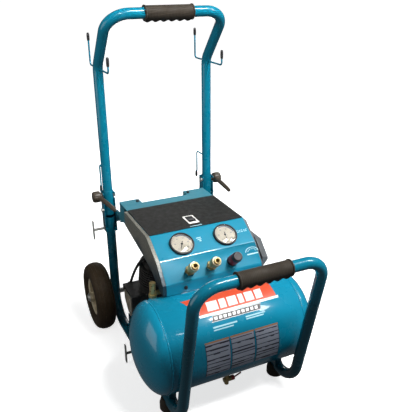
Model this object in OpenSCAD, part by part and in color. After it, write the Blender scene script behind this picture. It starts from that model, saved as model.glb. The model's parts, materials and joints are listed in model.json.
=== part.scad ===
/* [Frame] */
// Outside diameter of the frame and handle tubes
tube_d = 28.6; // [26:0.1:29]
// Wall of the frame and handle tubes
tube_wall = 2; // [1.5:0.1:3]
// Distance from the middle plane to each side tube's centre
side_x = 165; // [165:1:168]
// Height of the bottom rails' centre line
rail_z = 32; // [31:1:34]
// How far behind the middle the rear uprights stand
upright_y = 275; // [272:1:278]
// Top of the fixed rear uprights
upright_top = 376; // [372:1:378]
// Bend radius between upright and rail
rear_bend_r = 75; // [70:1:76]
// Bend radius between rail and front leg
front_bend_r = 80; // [76:1:84]
// Forward lean of the front handle, in degrees
front_lean = 12.4; // [11:0.2:14]
// Where the front legs' line meets the floor
front_leg_y = -261.8; // [-263:0.1:-259]
// Height of the front grip's centre
front_grip_z = 459; // [455:1:465]
// Corner radius of both hoops
hoop_corner_r = 58; // [50:1:62]
// Half the length of each rubber grip
grip_half = 68; // [60:1:75]

/* [Folding handle] */
// Height of the fold pivots
pivot_z = 400; // [398:1:402]
// Height of the clamp bolts
clamp_z = 446; // [444:1:448]
// Height of the bend where the hoop leans forward
handle_bend_z = 826; // [800:1:840]
// Forward lean of the hoop above that bend, in degrees
handle_lean = 41; // [36:1:42]
// Length of the leaning part along its slope
handle_reach = 188; // [170:1:190]
// Diameter of the hook wires
hook_d = 5; // [4:0.5:6]

/* [Wheels] */
// Height of the axle, which is the tyre's radius
axle_z = 108; // [108:1:108]
// Diameter of the axle rod
axle_d = 16; // [14:1:16]
// Distance from the middle plane to each wheel's centre
wheel_x = 220; // [219:1:222]
// Width of the tyre
tyre_w = 58; // [54:1:60]
// Outside radius of the rim's flanges
rim_r = 60; // [58:1:62]

/* [Tank] */
// Outside radius of the tank
tank_r = 121; // [120:1:121]
// Half the length of the tank's straight shell
shell_half = 188; // [184:1:190]
// Depth of each domed end
dome_depth = 56; // [50:1:58]
// Tank wall
tank_wall = 3; // [2.5:0.5:4]
// Centre of the tank, front to back
tank_y = -160; // [-161:1:-159]
// Height of the tank's centre
tank_z = 188; // [187:1:189]

/* [Console] */
// Half the width of the sloped control panel
panel_half = 139; // [136:1:139]
// Height of the console's flat top
deck_z = 428; // [427:1:429]
// Thickness of the console's sheet metal
sheet = 2; // [1.5:0.5:2.5]
// Diameter of the pressure gauges
gauge_d = 67; // [60:1:68]
// Distance of each gauge from the middle plane
gauge_x = 64; // [62:1:66]

/* [Pump and motor] */
// Height of the crankshaft
shaft_z = 155; // [155:1:156]
// Crankshaft's place, front to back
shaft_y = 121; // [120:1:122]
// Radius of the crankcase and motor shells
motor_r = 60; // [58:1:60]
// Forward tilt of the cylinder, in degrees
pump_tilt = 16; // [15:1:17]
// Crank throw
crank_throw = 18; // [17:1:18]

/* [Hidden] */
$fn = 64;
fit = 0.05;
gap = 0.3;
tube_r = tube_d / 2;
front_turn = 90 - front_lean;
bend_run = front_bend_r * tan(front_turn / 2);
leg_corner_y = front_leg_y - rail_z * tan(front_lean);
rail_start_y = upright_y - rear_bend_r;
rail_end_y = leg_corner_y + bend_run;
rail_len = rail_start_y - rail_end_y;
leg_len = (front_grip_z - rail_z) / cos(front_lean) - bend_run - hoop_corner_r;
front_grip_y = leg_corner_y - (front_grip_z - rail_z) * tan(front_lean);
axle_y = upright_y;
sleeve_wall = 1.2;
sleeve_low = 404;
sleeve_top = 462;
bracket_gap = tube_r + sleeve_wall + gap;
bracket_wall = 2.2;
bracket_low = 330;
bracket_top = 457;
bracket_front = 13;
bolt_r = 4;
bolt_play = 0.6;
slot_drop = 8.5;
lower_leg_cut = 14;
touch = 0.01;
bend_soft_r = 45;
soft_run = bend_soft_r * tan(handle_lean / 2);
hoop_y = upright_y - handle_reach * sin(handle_lean);
hoop_z = handle_bend_z + handle_reach * cos(handle_lean);
hook_r = 10;
hook_z = handle_bend_z - 5;
rear_reach = 79;
rear_prong = 56;
front_reach = 104;
front_prong = 10;
cord_hook_z = 521;
cord_reach = 74;
cord_prong = 60;
tip_r = 4.2;
panel_front_y = -16;
crease_y = -85;
crease_z = deck_z - 42;
flange_y = -128;
flange_z = crease_z - 48;
flange_low = 306;
slope1 = atan2(deck_z - crease_z, panel_front_y - crease_y);
slope2 = atan2(crease_z - flange_z, crease_y - flange_y);
mat_back_y = 171;
deck_back_y = 250;
mat_t = 2.5;
left_cover_t = 10;
coupler_x = [-68, -6];
knob_x = 56;
row_s = 40;
gauge_s = 44;
case_x = -90;
head_low = 148;
head_high = 184;
case_front = 75;
case_back = 166;
case_top = 196;
tube_x = -110;
tube_z = 302;
tube_bore = 4 + touch;
pin_height = 124;
valve_x = -163;
valve_y = -90;
safety_x = 60;
safety_y = -70;
drain_y = -195;
drain_z = 44;
foot_y = rail_end_y + 24;
notch_y = 217;
channel_low = 360;
spindle_r = 1.2;
switch_half = 34;
cable_x = -141.7;
cap_x = wheel_x + 31.3;

// ---- shared shapes ----

module ring2d(d, wall) {
    difference() {
        circle(d = d);
        if (wall > 0) circle(d = d - 2 * wall);
    }
}

// Straight tube from the origin along +Z
module pipe(len, d, wall = 0) {
    linear_extrude(len) ring2d(d, wall);
}

// Bend that leaves the origin along +Z and turns towards -Y
module bend(r, a, d, wall = 0) {
    translate([0, -r, 0]) rotate([90, 0, 90]) rotate_extrude(angle = a)
        translate([r, 0]) ring2d(d, wall);
}

// Weld ring where two stretches of tube meet
module weld_ring(d, wall = 0) {
    translate([0, 0, -0.3]) pipe(0.6, d + 4 * touch, wall > 0 ? wall + 4 * touch : 0);
}

// Moves on to the end of such a bend
module after_bend(r, a) {
    translate([0, -r, 0]) rotate([a, 0, 0]) translate([0, r, 0]) children();
}

module rod_x(x0, x1, r) {
    translate([x0, 0, 0]) rotate([0, 90, 0]) cylinder(r = r, h = x1 - x0);
}

module both_sides() {
    children();
    mirror([1, 0, 0]) children();
}

// A place on the gauge slope, x across and s down from its top edge
module on_gauge_slope(x, s) {
    translate([x, panel_front_y - s * cos(slope1), deck_z - s * sin(slope1)])
        rotate([slope1, 0, 0]) children();
}

// A place on the lower slope, which carries the couplers
module on_lower_slope(x, s) {
    translate([x, crease_y - s * cos(slope2), crease_z - s * sin(slope2)])
        rotate([slope2, 0, 0]) children();
}

// Hex head with its washer, standing up from z = 0
module hex_head(across, height) {
    cylinder(r = across * 0.62, h = 1.2);
    translate([0, 0, 1.2]) cylinder(d = across / cos(30), h = height, $fn = 6);
}

// ---- tank ----

module tank_place() {
    translate([0, tank_y, tank_z]) rotate([0, 90, 0]) children();
}

module tank_shell() {
    color("darkcyan") difference() {
        tank_place() translate([0, 0, -shell_half]) pipe(2 * shell_half, 2 * tank_r, tank_wall);
        translate([0, drain_y, 0]) cylinder(r = 6, h = 120);
        translate([valve_x, valve_y, tank_z]) cylinder(r = 9, h = 130);
        translate([safety_x, safety_y, tank_z]) cylinder(r = 7, h = 130);
    }
}

function dome(r, depth) = [for (i = [0:12]) [r * cos(i * 7.5), depth * sin(i * 7.5)]];

module dome_end() {
    rotate_extrude() difference() {
        polygon(concat([[0, 0]], dome(tank_r, dome_depth)));
        polygon(concat([[0, -1], [tank_r - tank_wall, -1]],
            dome(tank_r - tank_wall, dome_depth - tank_wall)));
    }
}

module tank_heads() {
    color("darkcyan") both_sides() tank_place() translate([0, 0, shell_half]) dome_end();
}

// The right rail's own space, cut from what sits on it
module rail_space() {
    translate([side_x, 0, rail_z]) rotate([90, 0, 0])
        cylinder(r = tube_r + touch, h = 900, center = true);
}

module tank_saddles() {
    color("teal") both_sides() for (y = [-192, -118]) difference() {
        translate([side_x - 14, y - 10, rail_z]) cube([20, 30, 80]);
        tank_place() cylinder(r = tank_r + touch, h = 600, center = true);
        rail_space();
    }
}

// ---- frame ----

module side_tube() {
    upright_len = upright_top - rail_z - rear_bend_r;
    difference() {
        translate([side_x, upright_y, upright_top]) rotate([0, 180, 0]) {
            pipe(upright_len, tube_d, tube_wall);
            translate([0, 0, upright_len]) {
                bend(rear_bend_r, 90, tube_d, tube_wall);
                after_bend(rear_bend_r, 90) {
                    pipe(rail_len, tube_d, tube_wall);
                    translate([0, 0, rail_len]) bend(front_bend_r, front_turn, tube_d, tube_wall);
                }
            }
        }
        translate([0, axle_y, axle_z]) rod_x(side_x - 40, side_x + 40, axle_d / 2 + fit);
    }
}

module side_tubes() {
    color("teal") both_sides() side_tube();
}

module front_leg_place() {
    translate([side_x, leg_corner_y, rail_z]) rotate([front_lean, 0, 0]) translate([0, 0, bend_run])
        children();
}

// Square hoop from the origin: up, across towards -Y and down again
module hoop(leg, r, across, d, wall) {
    pipe(leg, d, wall);
    translate([0, 0, leg]) {
        bend(r, 90, d, wall);
        after_bend(r, 90) {
            pipe(across - 2 * r, d, wall);
            translate([0, 0, across - 2 * r]) {
                bend(r, 90, d, wall);
                after_bend(r, 90) pipe(leg, d, wall);
            }
        }
    }
}

module front_handle_tube() {
    color("teal") front_leg_place() rotate([0, 0, -90])
        hoop(leg_len, hoop_corner_r, 2 * side_x, tube_d, tube_wall);
}

// Rubber grip around a tube that lies along X, finger bumps towards -Z
module grip() {
    bumps = 6;
    pitch = 2 * grip_half / bumps;
    difference() {
        union() {
            rod_x(-grip_half, grip_half, tube_r + 4);
            for (x = [-grip_half, grip_half - 4]) rod_x(x, x + 4, tube_r + 6);
            for (i = [0:bumps - 1]) translate([-grip_half + pitch * (i + 0.5), 0, -12])
                rod_x(-pitch * 0.4, pitch * 0.4, tube_r + 1);
        }
        rod_x(-grip_half - 1, grip_half + 1, tube_r);
    }
}

module front_handle_grip() {
    color("black") translate([0, front_grip_y, front_grip_z]) rotate([front_lean, 0, 0]) grip();
}

module front_feet() {
    color("black") both_sides() difference() {
        translate([side_x, foot_y, 0]) {
            cylinder(r = 24, h = 22);
            translate([0, 0, 22]) cylinder(r1 = 24, r2 = 20, h = 14);
        }
        translate([side_x, foot_y, -1]) cylinder(r = 8, h = 8);
        translate([side_x, foot_y, 0]) cylinder(r = bolt_r, h = rail_z);
        rail_space();
    }
}

module axle() {
    color("silver") translate([0, axle_y, axle_z]) rod_x(-wheel_x - 36, wheel_x + 36, axle_d / 2);
}

// U-shaped bracket that holds an upright below and the folding leg above
module hinge_bracket() {
    outer = bracket_gap + bracket_wall;
    window_low = 380;
    window_top = 422;
    difference() {
        translate([side_x, upright_y, 0]) {
            for (x = [-outer, bracket_gap]) translate([x, -bracket_front, bracket_low])
                cube([bracket_wall, bracket_front + outer, bracket_top - bracket_low]);
            for (z = [[bracket_low, window_low], [window_top, bracket_top]])
                translate([-outer, bracket_gap, z[0]]) cube([2 * outer, bracket_wall, z[1] - z[0]]);
            difference() {
                translate([-bracket_gap, -bracket_front, bracket_low])
                    cube([2 * bracket_gap, bracket_front + bracket_gap, 12]);
                cylinder(r = tube_r + touch, h = bracket_top);
            }
        }
        translate([0, upright_y, pivot_z]) rod_x(side_x - 40, side_x + 40, bolt_r + fit);
        translate([0, upright_y, clamp_z]) rod_x(side_x - 40, side_x + 40, bolt_r + bolt_play);
        translate([side_x - 40, upright_y - 30, clamp_z - slot_drop])
            cube([80, 30, slot_drop + bolt_r + bolt_play]);
    }
}

module hinge_brackets() {
    color("teal") both_sides() hinge_bracket();
}

// Post for the wound lead, from root to the plate at its end, measured out from the middle
module cord_post(root, end) {
    rod_x(root, end, 4);
    translate([end, -6, -30]) cube([3, 12, 60]);
}

module cord_posts() {
    color("gray") mirror([1, 0, 0]) {
        translate([0, upright_y, 340]) cord_post(side_x + bracket_gap + bracket_wall, 217);
        translate([0, 42, rail_z + 4]) cord_post(side_x + tube_r - 0.3, 209);
    }
}

// Sheet-metal channel that ties the uprights together behind the console
module cross_channel() {
    arm_height = 32;
    color("cadetblue") difference() {
        union() {
            translate([-panel_half, mat_back_y + 1, deck_z - sheet])
                cube([2 * panel_half, deck_back_y - mat_back_y - 1, sheet]);
            translate([-panel_half, deck_back_y - sheet, channel_low])
                cube([2 * panel_half, sheet, deck_z - sheet - channel_low]);
            both_sides() {
                translate([panel_half - sheet, mat_back_y + 30, channel_low + 12])
                    cube([sheet, deck_back_y - mat_back_y - 30, deck_z - sheet - channel_low - 12]);
                translate([panel_half, upright_y - 12, channel_low])
                    cube([side_x - panel_half - bracket_gap - bracket_wall, 16, arm_height]);
                translate([panel_half - sheet, deck_back_y - sheet, channel_low])
                    cube([sheet, upright_y + 4 - deck_back_y + sheet, arm_height]);
            }
        }
        translate([-78, notch_y, deck_z - 16]) cube([148, 60, 40]);
    }
}

// ---- console ----

// Side outline of the panel, t mm inside its outer face
function panel_line(t) = [
    [mat_back_y, deck_z - t],
    [panel_front_y + t * tan(slope1 / 2), deck_z - t],
    [crease_y + t * sin((slope1 + slope2) / 2), crease_z - t * cos((slope1 + slope2) / 2)],
    [flange_y + t, flange_z - t * tan((90 - slope2) / 2)],
    [flange_y + t, flange_low]];

function reversed(list) = [for (i = [len(list) - 1:-1:0]) list[i]];

module panel_sheet(half) {
    translate([-half, 0, 0]) rotate([90, 0, 90])
        linear_extrude(2 * half) polygon(concat(panel_line(0), reversed(panel_line(sheet))));
}

module console_panel() {
    color("deepskyblue") difference() {
        panel_sheet(panel_half);
        for (x = [-gauge_x, gauge_x]) on_gauge_slope(x, gauge_s)
            cylinder(d = gauge_d - 8, h = 20, center = true);
        for (x = coupler_x) on_lower_slope(x, row_s) cylinder(r = 10, h = 20, center = true);
        on_lower_slope(knob_x, row_s) cylinder(r = 12, h = 20, center = true);
        translate([-12, 18, deck_z - 8]) cube([24, 34, 20]);
    }
}

module console_mat() {
    color("dimgray") difference() {
        translate([-panel_half, panel_front_y + 1, deck_z])
            cube([2 * panel_half, mat_back_y - panel_front_y - 1, mat_t]);
        translate([-12, 18, deck_z - 8]) cube([24, 34, 20]);
    }
}

module cover_outline(inset) {
    polygon([[mat_back_y - inset, 386 + inset], [mat_back_y - inset, deck_z - inset],
        [panel_front_y - inset, deck_z - inset], [crease_y + inset, crease_z - inset],
        [flange_y + inset, flange_z - inset], [flange_y + inset, 309 + inset],
        [-108, 309 + inset], [-47, 343 + inset], [21, 359 + inset]]);
}

module left_side_cover() {
    color("slategray") translate([-panel_half - left_cover_t, 0, 0]) rotate([90, 0, 90]) difference() {
        linear_extrude(left_cover_t) cover_outline(0);
        translate([0, 0, 3]) linear_extrude(left_cover_t) cover_outline(4);
    }
}

module bulge_outline(inset) {
    polygon([[30 - inset, 384 - inset], [-70 + inset, 384 - inset], [-112 + inset, 344 - inset],
        [-112 + inset, 326 + inset], [-47, 346 + inset], [30 - inset, 362 + inset]]);
}

module right_side_cover() {
    bulge = 33;
    color("slategray") {
        translate([panel_half, 0, 0]) rotate([90, 0, 90]) difference() {
            hull() {
                linear_extrude(1) cover_outline(0);
                linear_extrude(8) cover_outline(7);
            }
            translate([0, 0, -1]) linear_extrude(6) cover_outline(11);
        }
        translate([panel_half + 8, 0, 0]) rotate([90, 0, 90]) hull() {
            linear_extrude(1) bulge_outline(-6);
            linear_extrude(bulge - 8) bulge_outline(6);
        }
    }
}

module gauge_case() {
    difference() {
        union() {
            translate([0, 0, -22]) cylinder(d = gauge_d - 10, h = 22.3);
            cylinder(d = gauge_d, h = 8);
            translate([0, 0, -34]) cylinder(r = 7, h = 13);
        }
        translate([0, 0, 2]) cylinder(d = gauge_d - 8, h = 10);
        translate([0, 0, -20]) cylinder(d = 40, h = 18);
        translate([0, 0, -3]) cylinder(r = spindle_r + fit, h = 6);
    }
}

module gauge_cases() {
    color("black") for (x = [-gauge_x, gauge_x]) on_gauge_slope(x, gauge_s) gauge_case();
}

module gauge_dials() {
    color("ivory") for (x = [-gauge_x, gauge_x]) on_gauge_slope(x, gauge_s)
        translate([0, 0, 2]) difference() {
            cylinder(d = gauge_d - 8.6, h = 0.8);
            translate([0, 0, -1]) cylinder(r = 1.5, h = 3);
        }
}

module gauge_lenses() {
    color("lightcyan", 0.4) for (x = [-gauge_x, gauge_x]) on_gauge_slope(x, gauge_s)
        translate([0, 0, 6]) cylinder(d = gauge_d - 8.6, h = 1.4);
}

module needle(angle) {
    rotate([0, 0, angle]) {
        translate([0, 0, 0.2]) cylinder(r = spindle_r, h = 3);
        translate([0, 0, 3.2]) cylinder(r = 3, h = 0.9);
        translate([-0.7, -8, 3.3]) cube([1.4, 30, 0.6]);
    }
}

module tank_needle() {
    color("black") on_gauge_slope(-gauge_x, gauge_s) needle(152);
}

module outlet_needle() {
    color("black") on_gauge_slope(gauge_x, gauge_s) needle(176);
}

module coupler_body() {
    difference() {
        union() {
            translate([0, 0, -14]) cylinder(r = 9.5, h = 16);
            cylinder(d = 24 / cos(30), h = 9, $fn = 6);
            translate([0, 0, 9]) cylinder(r = 9.4, h = 43);
        }
        translate([0, 0, 22]) cylinder(r = 5.2, h = 40);
        translate([0, 0, -20]) cylinder(r = 3.5, h = 60);
    }
}

module coupler_bodies() {
    color("goldenrod") for (x = coupler_x) on_lower_slope(x, row_s) coupler_body();
}

module coupler_sleeve() {
    difference() {
        union() {
            cylinder(r = 12.4, h = 26);
            translate([0, 0, 3]) cylinder(r = 13.2, h = 5);
            translate([0, 0, 19]) cylinder(r = 13.2, h = 5);
        }
        translate([0, 0, -1]) cylinder(r = 9.45, h = 40);
    }
}

module left_coupler_sleeve() {
    color("gold") on_lower_slope(coupler_x[0], row_s) translate([0, 0, 20]) coupler_sleeve();
}

module right_coupler_sleeve() {
    color("gold") on_lower_slope(coupler_x[1], row_s) translate([0, 0, 20]) coupler_sleeve();
}

module regulator_body() {
    color("dimgray") on_lower_slope(knob_x, row_s) difference() {
        union() {
            translate([0, 0, -14]) cylinder(r = 11.5, h = 16);
            cylinder(r = 14.5, h = 6);
            translate([0, 0, 6]) cylinder(r = 10, h = 16);
        }
        translate([0, 0, -5]) cylinder(r = 5, h = 40);
    }
}

module regulator_knob() {
    ribs = 20;
    color("dimgray") on_lower_slope(knob_x, row_s) {
        difference() {
            union() {
                translate([0, 0, 8]) cylinder(r = 13.4, h = 34);
                translate([0, 0, 42]) cylinder(r1 = 13.4, r2 = 12, h = 3);
                for (i = [0:ribs - 1]) rotate([0, 0, i * 360 / ribs]) translate([13.1, 0, 18])
                    cylinder(r = 1, h = 22, $fn = 16);
            }
            translate([0, 0, 7]) cylinder(r = 10.05, h = 18);
        }
        translate([0, 0, 12]) cylinder(r = 4.9, h = 13);
    }
}

module air_manifold() {
    color("goldenrod") on_lower_slope(0, row_s) difference() {
        translate([-88, -12, -38]) cube([170, 24, 23.7]);
        translate([0, 0, -26]) rod_x(-84, 76, 6);
        for (x = concat(coupler_x, [knob_x])) translate([x, 0, -30]) cylinder(r = 3.4, h = 30);
    }
}

module switch_bezel() {
    color("white") difference() {
        translate([-15.5, 5, deck_z + mat_t]) cube([31, 51, 1.6]);
        translate([-11, 19, deck_z]) cube([22, 32, 12]);
    }
}

module switch_rocker() {
    color("black") translate([-10.6, 35, deck_z + mat_t - 1]) rotate([90, 0, 90]) linear_extrude(21.2)
        polygon([[-15, 0.6], [-15, 6], [0, 2.6], [15, 3.4], [15, -2], [4, -6], [-4, -6]]);
}

module pressure_switch() {
    color("black") difference() {
        union() {
            translate([-switch_half, -4, 336]) cube([2 * switch_half, 84, 76]);
            translate([-14, 14, 412]) cube([28, 42, 13.8]);
        }
        translate([-30, 0, 340]) cube([60, 76, 68]);
        translate([-11.6, 18, 400]) cube([23.2, 34, 40]);
    }
}

module frame_screw_y(x, y, z) {
    translate([x, y, z]) rotate([90, 0, 0]) hex_head(8, 4);
}

// Bolts, nuts and screws of the frame, panel and axle
module fasteners() {
    inner = side_x - bracket_gap - bracket_wall;
    outer = side_x + bracket_gap + bracket_wall;
    color("silver") {
        both_sides() {
            translate([0, upright_y, pivot_z]) {
                rod_x(inner - 0.01, outer + 0.01, bolt_r);
                translate([outer, 0, 0]) rotate([0, 90, 0]) hex_head(11, 5);
                translate([inner, 0, 0]) rotate([0, -90, 0]) hex_head(10, 2);
            }
            translate([cap_x, axle_y, axle_z]) difference() {
                union() {
                    rod_x(0, 1.2, 14);
                    rod_x(1.2, 6, 11);
                }
                rod_x(-1, 8, axle_d / 2 + 0.01);
            }
            translate([side_x, foot_y, 3]) cylinder(r = 6.5, h = 4);
            translate([side_x, foot_y, 7]) cylinder(r = bolt_r - touch, h = rail_z - tube_r - 7);
        }
        for (x = [-86, 86]) frame_screw_y(x, flange_y, 320);
        for (x = [-88, 78]) translate([x, notch_y + 12, deck_z]) hex_head(8, 4);
    }
}

// ---- tank fittings ----

module check_valve() {
    color("goldenrod") translate([valve_x, valve_y, 0]) {
        translate([0, 0, 275]) cylinder(r = 9 - touch, h = 18);
        translate([0, 0, 293]) cylinder(d = 24, h = 8, $fn = 6);
        translate([0, 0, 301]) cylinder(r = 8.5, h = 24);
        translate([0, 0, 325]) cylinder(d = 18, h = 9, $fn = 6);
        translate([0, 0, tube_z]) rotate([0, 90, 0]) difference() {
            cylinder(r = 6.5, h = 20);
            translate([0, 0, 12]) cylinder(r = tube_bore, h = 20);
        }
    }
}

// Copper tube from the front of the pump head to the check valve
module discharge_tube() {
    tube = 8;
    r = 22;
    start_y = 47;
    reach = start_y - valve_y - r;
    color("orange") translate([tube_x, start_y, tube_z]) rotate([90, 0, 0]) rotate([0, 0, -90]) {
        pipe(reach, tube, 1);
        translate([0, 0, reach]) {
            bend(r, 90, tube, 1);
            after_bend(r, 90) pipe(tube_x - r - valve_x - 14, tube, 1);
        }
    }
}

module safety_valve() {
    color("goldenrod") translate([safety_x, safety_y, 0]) difference() {
        union() {
            translate([0, 0, 258]) cylinder(r = 7 - touch, h = 23);
            translate([0, 0, 281]) cylinder(d = 18, h = 7, $fn = 6);
            translate([0, 0, 288]) cylinder(r = 7.5, h = 13);
        }
        translate([0, 0, 290]) cylinder(r = 2.6, h = 20);
    }
}

module safety_ring() {
    color("silver") translate([safety_x, safety_y, 0]) {
        translate([0, 0, 292]) cylinder(r = 2.5, h = 16);
        translate([0, 0, 316]) rotate([90, 0, 0]) rotate_extrude() translate([9, 0]) circle(r = 1.25);
    }
}

module drain_valve() {
    color("goldenrod") translate([0, drain_y, 0]) difference() {
        union() {
            translate([0, 0, 30]) cylinder(r = 6, h = 44);
            translate([0, 0, drain_z]) rod_x(-9, 13, 7);
            translate([0, 0, 60]) cylinder(d = 17, h = 8, $fn = 6);
        }
        translate([0, 0, 20]) cylinder(r = 3, h = 60);
        translate([0, 0, drain_z]) rod_x(4, 20, 4.05);
    }
}

module drain_lever() {
    color("firebrick") translate([0, drain_y, drain_z]) {
        rod_x(4.5, 24, 4);
        translate([13.4, 0, 0]) rod_x(0, 9, 7);
        translate([24, 0, 0]) rotate([0, 68, 0]) cylinder(r = 2.2, h = 22);
    }
}

// ---- pump and motor ----

module pump_base() {
    color("teal") difference() {
        union() {
            translate([-145, 72, 88]) cube([257, 98, 4]);
            for (y = [76, 160]) {
                translate([-side_x - 6, y, rail_z]) cube([2 * side_x + 12, 4, 20]);
                translate([-side_x + 5, y, rail_z]) cube([2 * side_x - 10, 4, 56]);
            }
        }
        both_sides() rail_space();
    }
}

module at_shaft() {
    translate([0, shaft_y, shaft_z]) children();
}

module on_pump_axis() {
    translate([case_x, shaft_y, shaft_z]) rotate([pump_tilt, 0, 0]) children();
}

// Plate along x from an outline of front-to-back places and heights
module across(x, thick) {
    translate([x, 0, 0]) rotate([90, 0, 90]) linear_extrude(thick) children();
}

// Outline of the flat bearing cover, shrunk by inset
module cover_plate_outline(inset) {
    front = case_front + 5 + inset;
    back = case_back - 25 - inset;
    top = case_top - 4 - inset;
    polygon([[front, top], [front, 136], [89, 126 + inset], [103, 126 + inset], [back, 163], [back, top]]);
}

module pump_crankcase() {
    color([0.12, 0.12, 0.12]) difference() {
        union() {
            across(-150, 108) polygon([[case_front, case_top], [case_front, 108], [case_front + 14, 94],
                [case_back - 14, 94], [case_back, 108], [case_back, case_top]]);
            across(-170, 20) polygon([[case_front, case_top], [case_front, 134], [86, 122], [104, 122],
                [case_back, 183], [case_back, case_top]]);
            on_pump_axis() cylinder(r = 44, h = 70);
            translate([-132, shaft_y - 40, 92]) cube([84, 76, 20]);
            translate([-149, case_back - 2, 158]) cube([15, 20, 30]);
        }
        across(-171, 17) cover_plate_outline(5);
        at_shaft() rod_x(-146, -48, 38);
        at_shaft() rod_x(-60, -30, 10.05);
        on_pump_axis() {
            cylinder(r = 40, h = 40);
            cylinder(r = 32, h = 90);
        }
    }
}

module crankcase_cover() {
    color("silver") {
        across(-174, 4) cover_plate_outline(0);
        across(-176, 2) cover_plate_outline(8);
    }
}

module pump_cylinder() {
    color([0.15, 0.15, 0.15]) on_pump_axis() difference() {
        union() {
            translate([0, 0, 70]) cylinder(r = 38, h = head_low - 70);
            for (z = [74:9:138]) translate([0, 0, z]) cylinder(r = 48, h = 4);
        }
        translate([0, 0, 60]) cylinder(r = 30.05, h = 100);
    }
}

// Round finned head with a port block in front and a flat intake boss on its right
module pump_head() {
    head_r = 38;
    color([0.15, 0.15, 0.15]) difference() {
        on_pump_axis() {
            translate([0, 0, head_low]) cylinder(r = head_r, h = 14);
            for (x = [-30:10:30]) let (half = sqrt(pow(head_r - 2, 2) - x * x))
                translate([x - 2, -half, head_low + 14]) cube([4, 2 * half, head_high - head_low - 14]);
            translate([-30, -12, head_low]) cube([60, 24, head_high - head_low]);
            translate([tube_x - case_x - 9, -head_r, head_low]) cube([18, 24, 28]);
            translate([20, -9, head_low]) cube([19, 18, 14]);
        }
        translate([tube_x, 30, tube_z]) rotate([-90, 0, 0]) cylinder(r = tube_bore, h = 20);
    }
}

module air_filter() {
    color("black") on_pump_axis() translate([0, 0, head_low + 7]) difference() {
        union() {
            rod_x(39, 57, 6.5);
            rod_x(56, 92, 27);
            for (x = [60:8:84]) rod_x(x, x + 3, 29);
        }
        rod_x(59, 88, 24);
    }
}

module motor_shell() {
    color([0.1, 0.1, 0.1]) at_shaft() difference() {
        union() {
            rod_x(-42, 108, motor_r);
            for (a = [0:15:345]) rotate([a, 0, 0]) translate([-36, motor_r - 1, -1.2]) cube([96, 3.5, 2.4]);
            rod_x(-42, -34, motor_r + 2);
        }
        rod_x(-36, 104, motor_r - 5);
        rod_x(-50, -30, 10.05);
        for (i = [0:11]) rotate([i * 30, 0, 0]) translate([100, 30, -4]) cube([20, 20, 8]);
    }
}

module motor_stator() {
    color("peru") at_shaft() difference() {
        rod_x(-20, 62, motor_r - 5.05);
        rod_x(-30, 70, 31);
    }
}

module motor_rotor() {
    color("lightgray") at_shaft() {
        rod_x(-16, 58, 30.3);
        rod_x(-86, 98, 10);
        rod_x(-100, -86, 30);
        translate([0, -crank_throw * sin(pump_tilt), crank_throw * cos(pump_tilt)]) rod_x(-102, -100, 7);
    }
}

module cooling_fan() {
    color("gray") at_shaft() difference() {
        union() {
            rod_x(70, 88, 16);
            for (i = [0:6]) rotate([i * 360 / 7, 0, 0]) translate([74, 12, -1.5]) cube([14, 36, 3]);
            rod_x(72, 74.5, 40);
        }
        rod_x(60, 100, 10.01);
    }
}

module piston() {
    color("silver") on_pump_axis() difference() {
        translate([0, 0, 112]) cylinder(r = 30, h = 34);
        translate([-20, -24, 100]) cube([24, 48, 38]);
        translate([0, 0, pin_height]) rod_x(-40, 40, 6 + fit);
    }
}

module connecting_rod() {
    color("gray") on_pump_axis() {
        difference() {
            union() {
                translate([0, 0, pin_height]) rod_x(-17, -12.4, 12);
                translate([-17, -6, crank_throw + 10]) cube([4.6, 12, 86]);
                translate([0, 0, crank_throw]) rod_x(-17, -12.4, 13);
            }
            translate([0, 0, crank_throw]) rod_x(-20, -10, 8);
        }
        translate([0, 0, pin_height]) rod_x(-26, 26, 6);
    }
}

// Lead that arches from the crankcase's back up to the switch box
module power_cable() {
    lead = 8;
    run = 27;
    lean = 35.7;
    arch_r = 656;
    arch = 14.9;
    turn_r = 3 * lead;
    color([0.05, 0.05, 0.05]) difference() {
        translate([cable_x, 178.8, 185]) rotate([lean, 0, 0]) {
            pipe(run, lead);
            translate([0, 0, run]) {
                bend(arch_r, arch, lead);
                after_bend(arch_r, arch) rotate([0, 0, 90]) {
                    weld_ring(lead);
                    bend(turn_r, 90, lead);
                    after_bend(turn_r, 90) {
                        weld_ring(lead);
                        pipe(-cable_x - turn_r - switch_half, lead);
                    }
                }
            }
        }
        translate([cable_x - 10, case_back, 150]) cube([20, 40, 38 + touch]);
    }
}

// ---- wheels ----

// Points of the tyre's outline: a flattened arch over two beads
function tyre_arch(half, r_out, r_in) = [for (i = [0:24]) let (a = -90 + 7.5 * i)
    [r_in + (r_out - r_in) * pow(cos(a), 0.75), half * sin(a)]];

module tyre() {
    half = tyre_w / 2;
    rotate([0, 90, 0]) rotate_extrude() difference() {
        polygon(concat([[rim_r - 5, -15.9], [rim_r, -17.9], [axle_z - 34, -half]],
            tyre_arch(half, axle_z, axle_z - 26),
            [[axle_z - 34, half], [rim_r, 17.9], [rim_r - 5, 15.9]]));
        polygon(concat([[rim_r - 6, -9], [rim_r + 4, -10]],
            tyre_arch(half - 7, axle_z - 9, axle_z - 30),
            [[rim_r + 4, 10], [rim_r - 6, 9]]));
    }
}

module left_tyre() {
    color([0.1, 0.08, 0.06]) translate([-wheel_x, axle_y, axle_z]) tyre();
}

module right_tyre() {
    color([0.1, 0.08, 0.06]) translate([wheel_x, axle_y, axle_z]) tyre();
}

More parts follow.
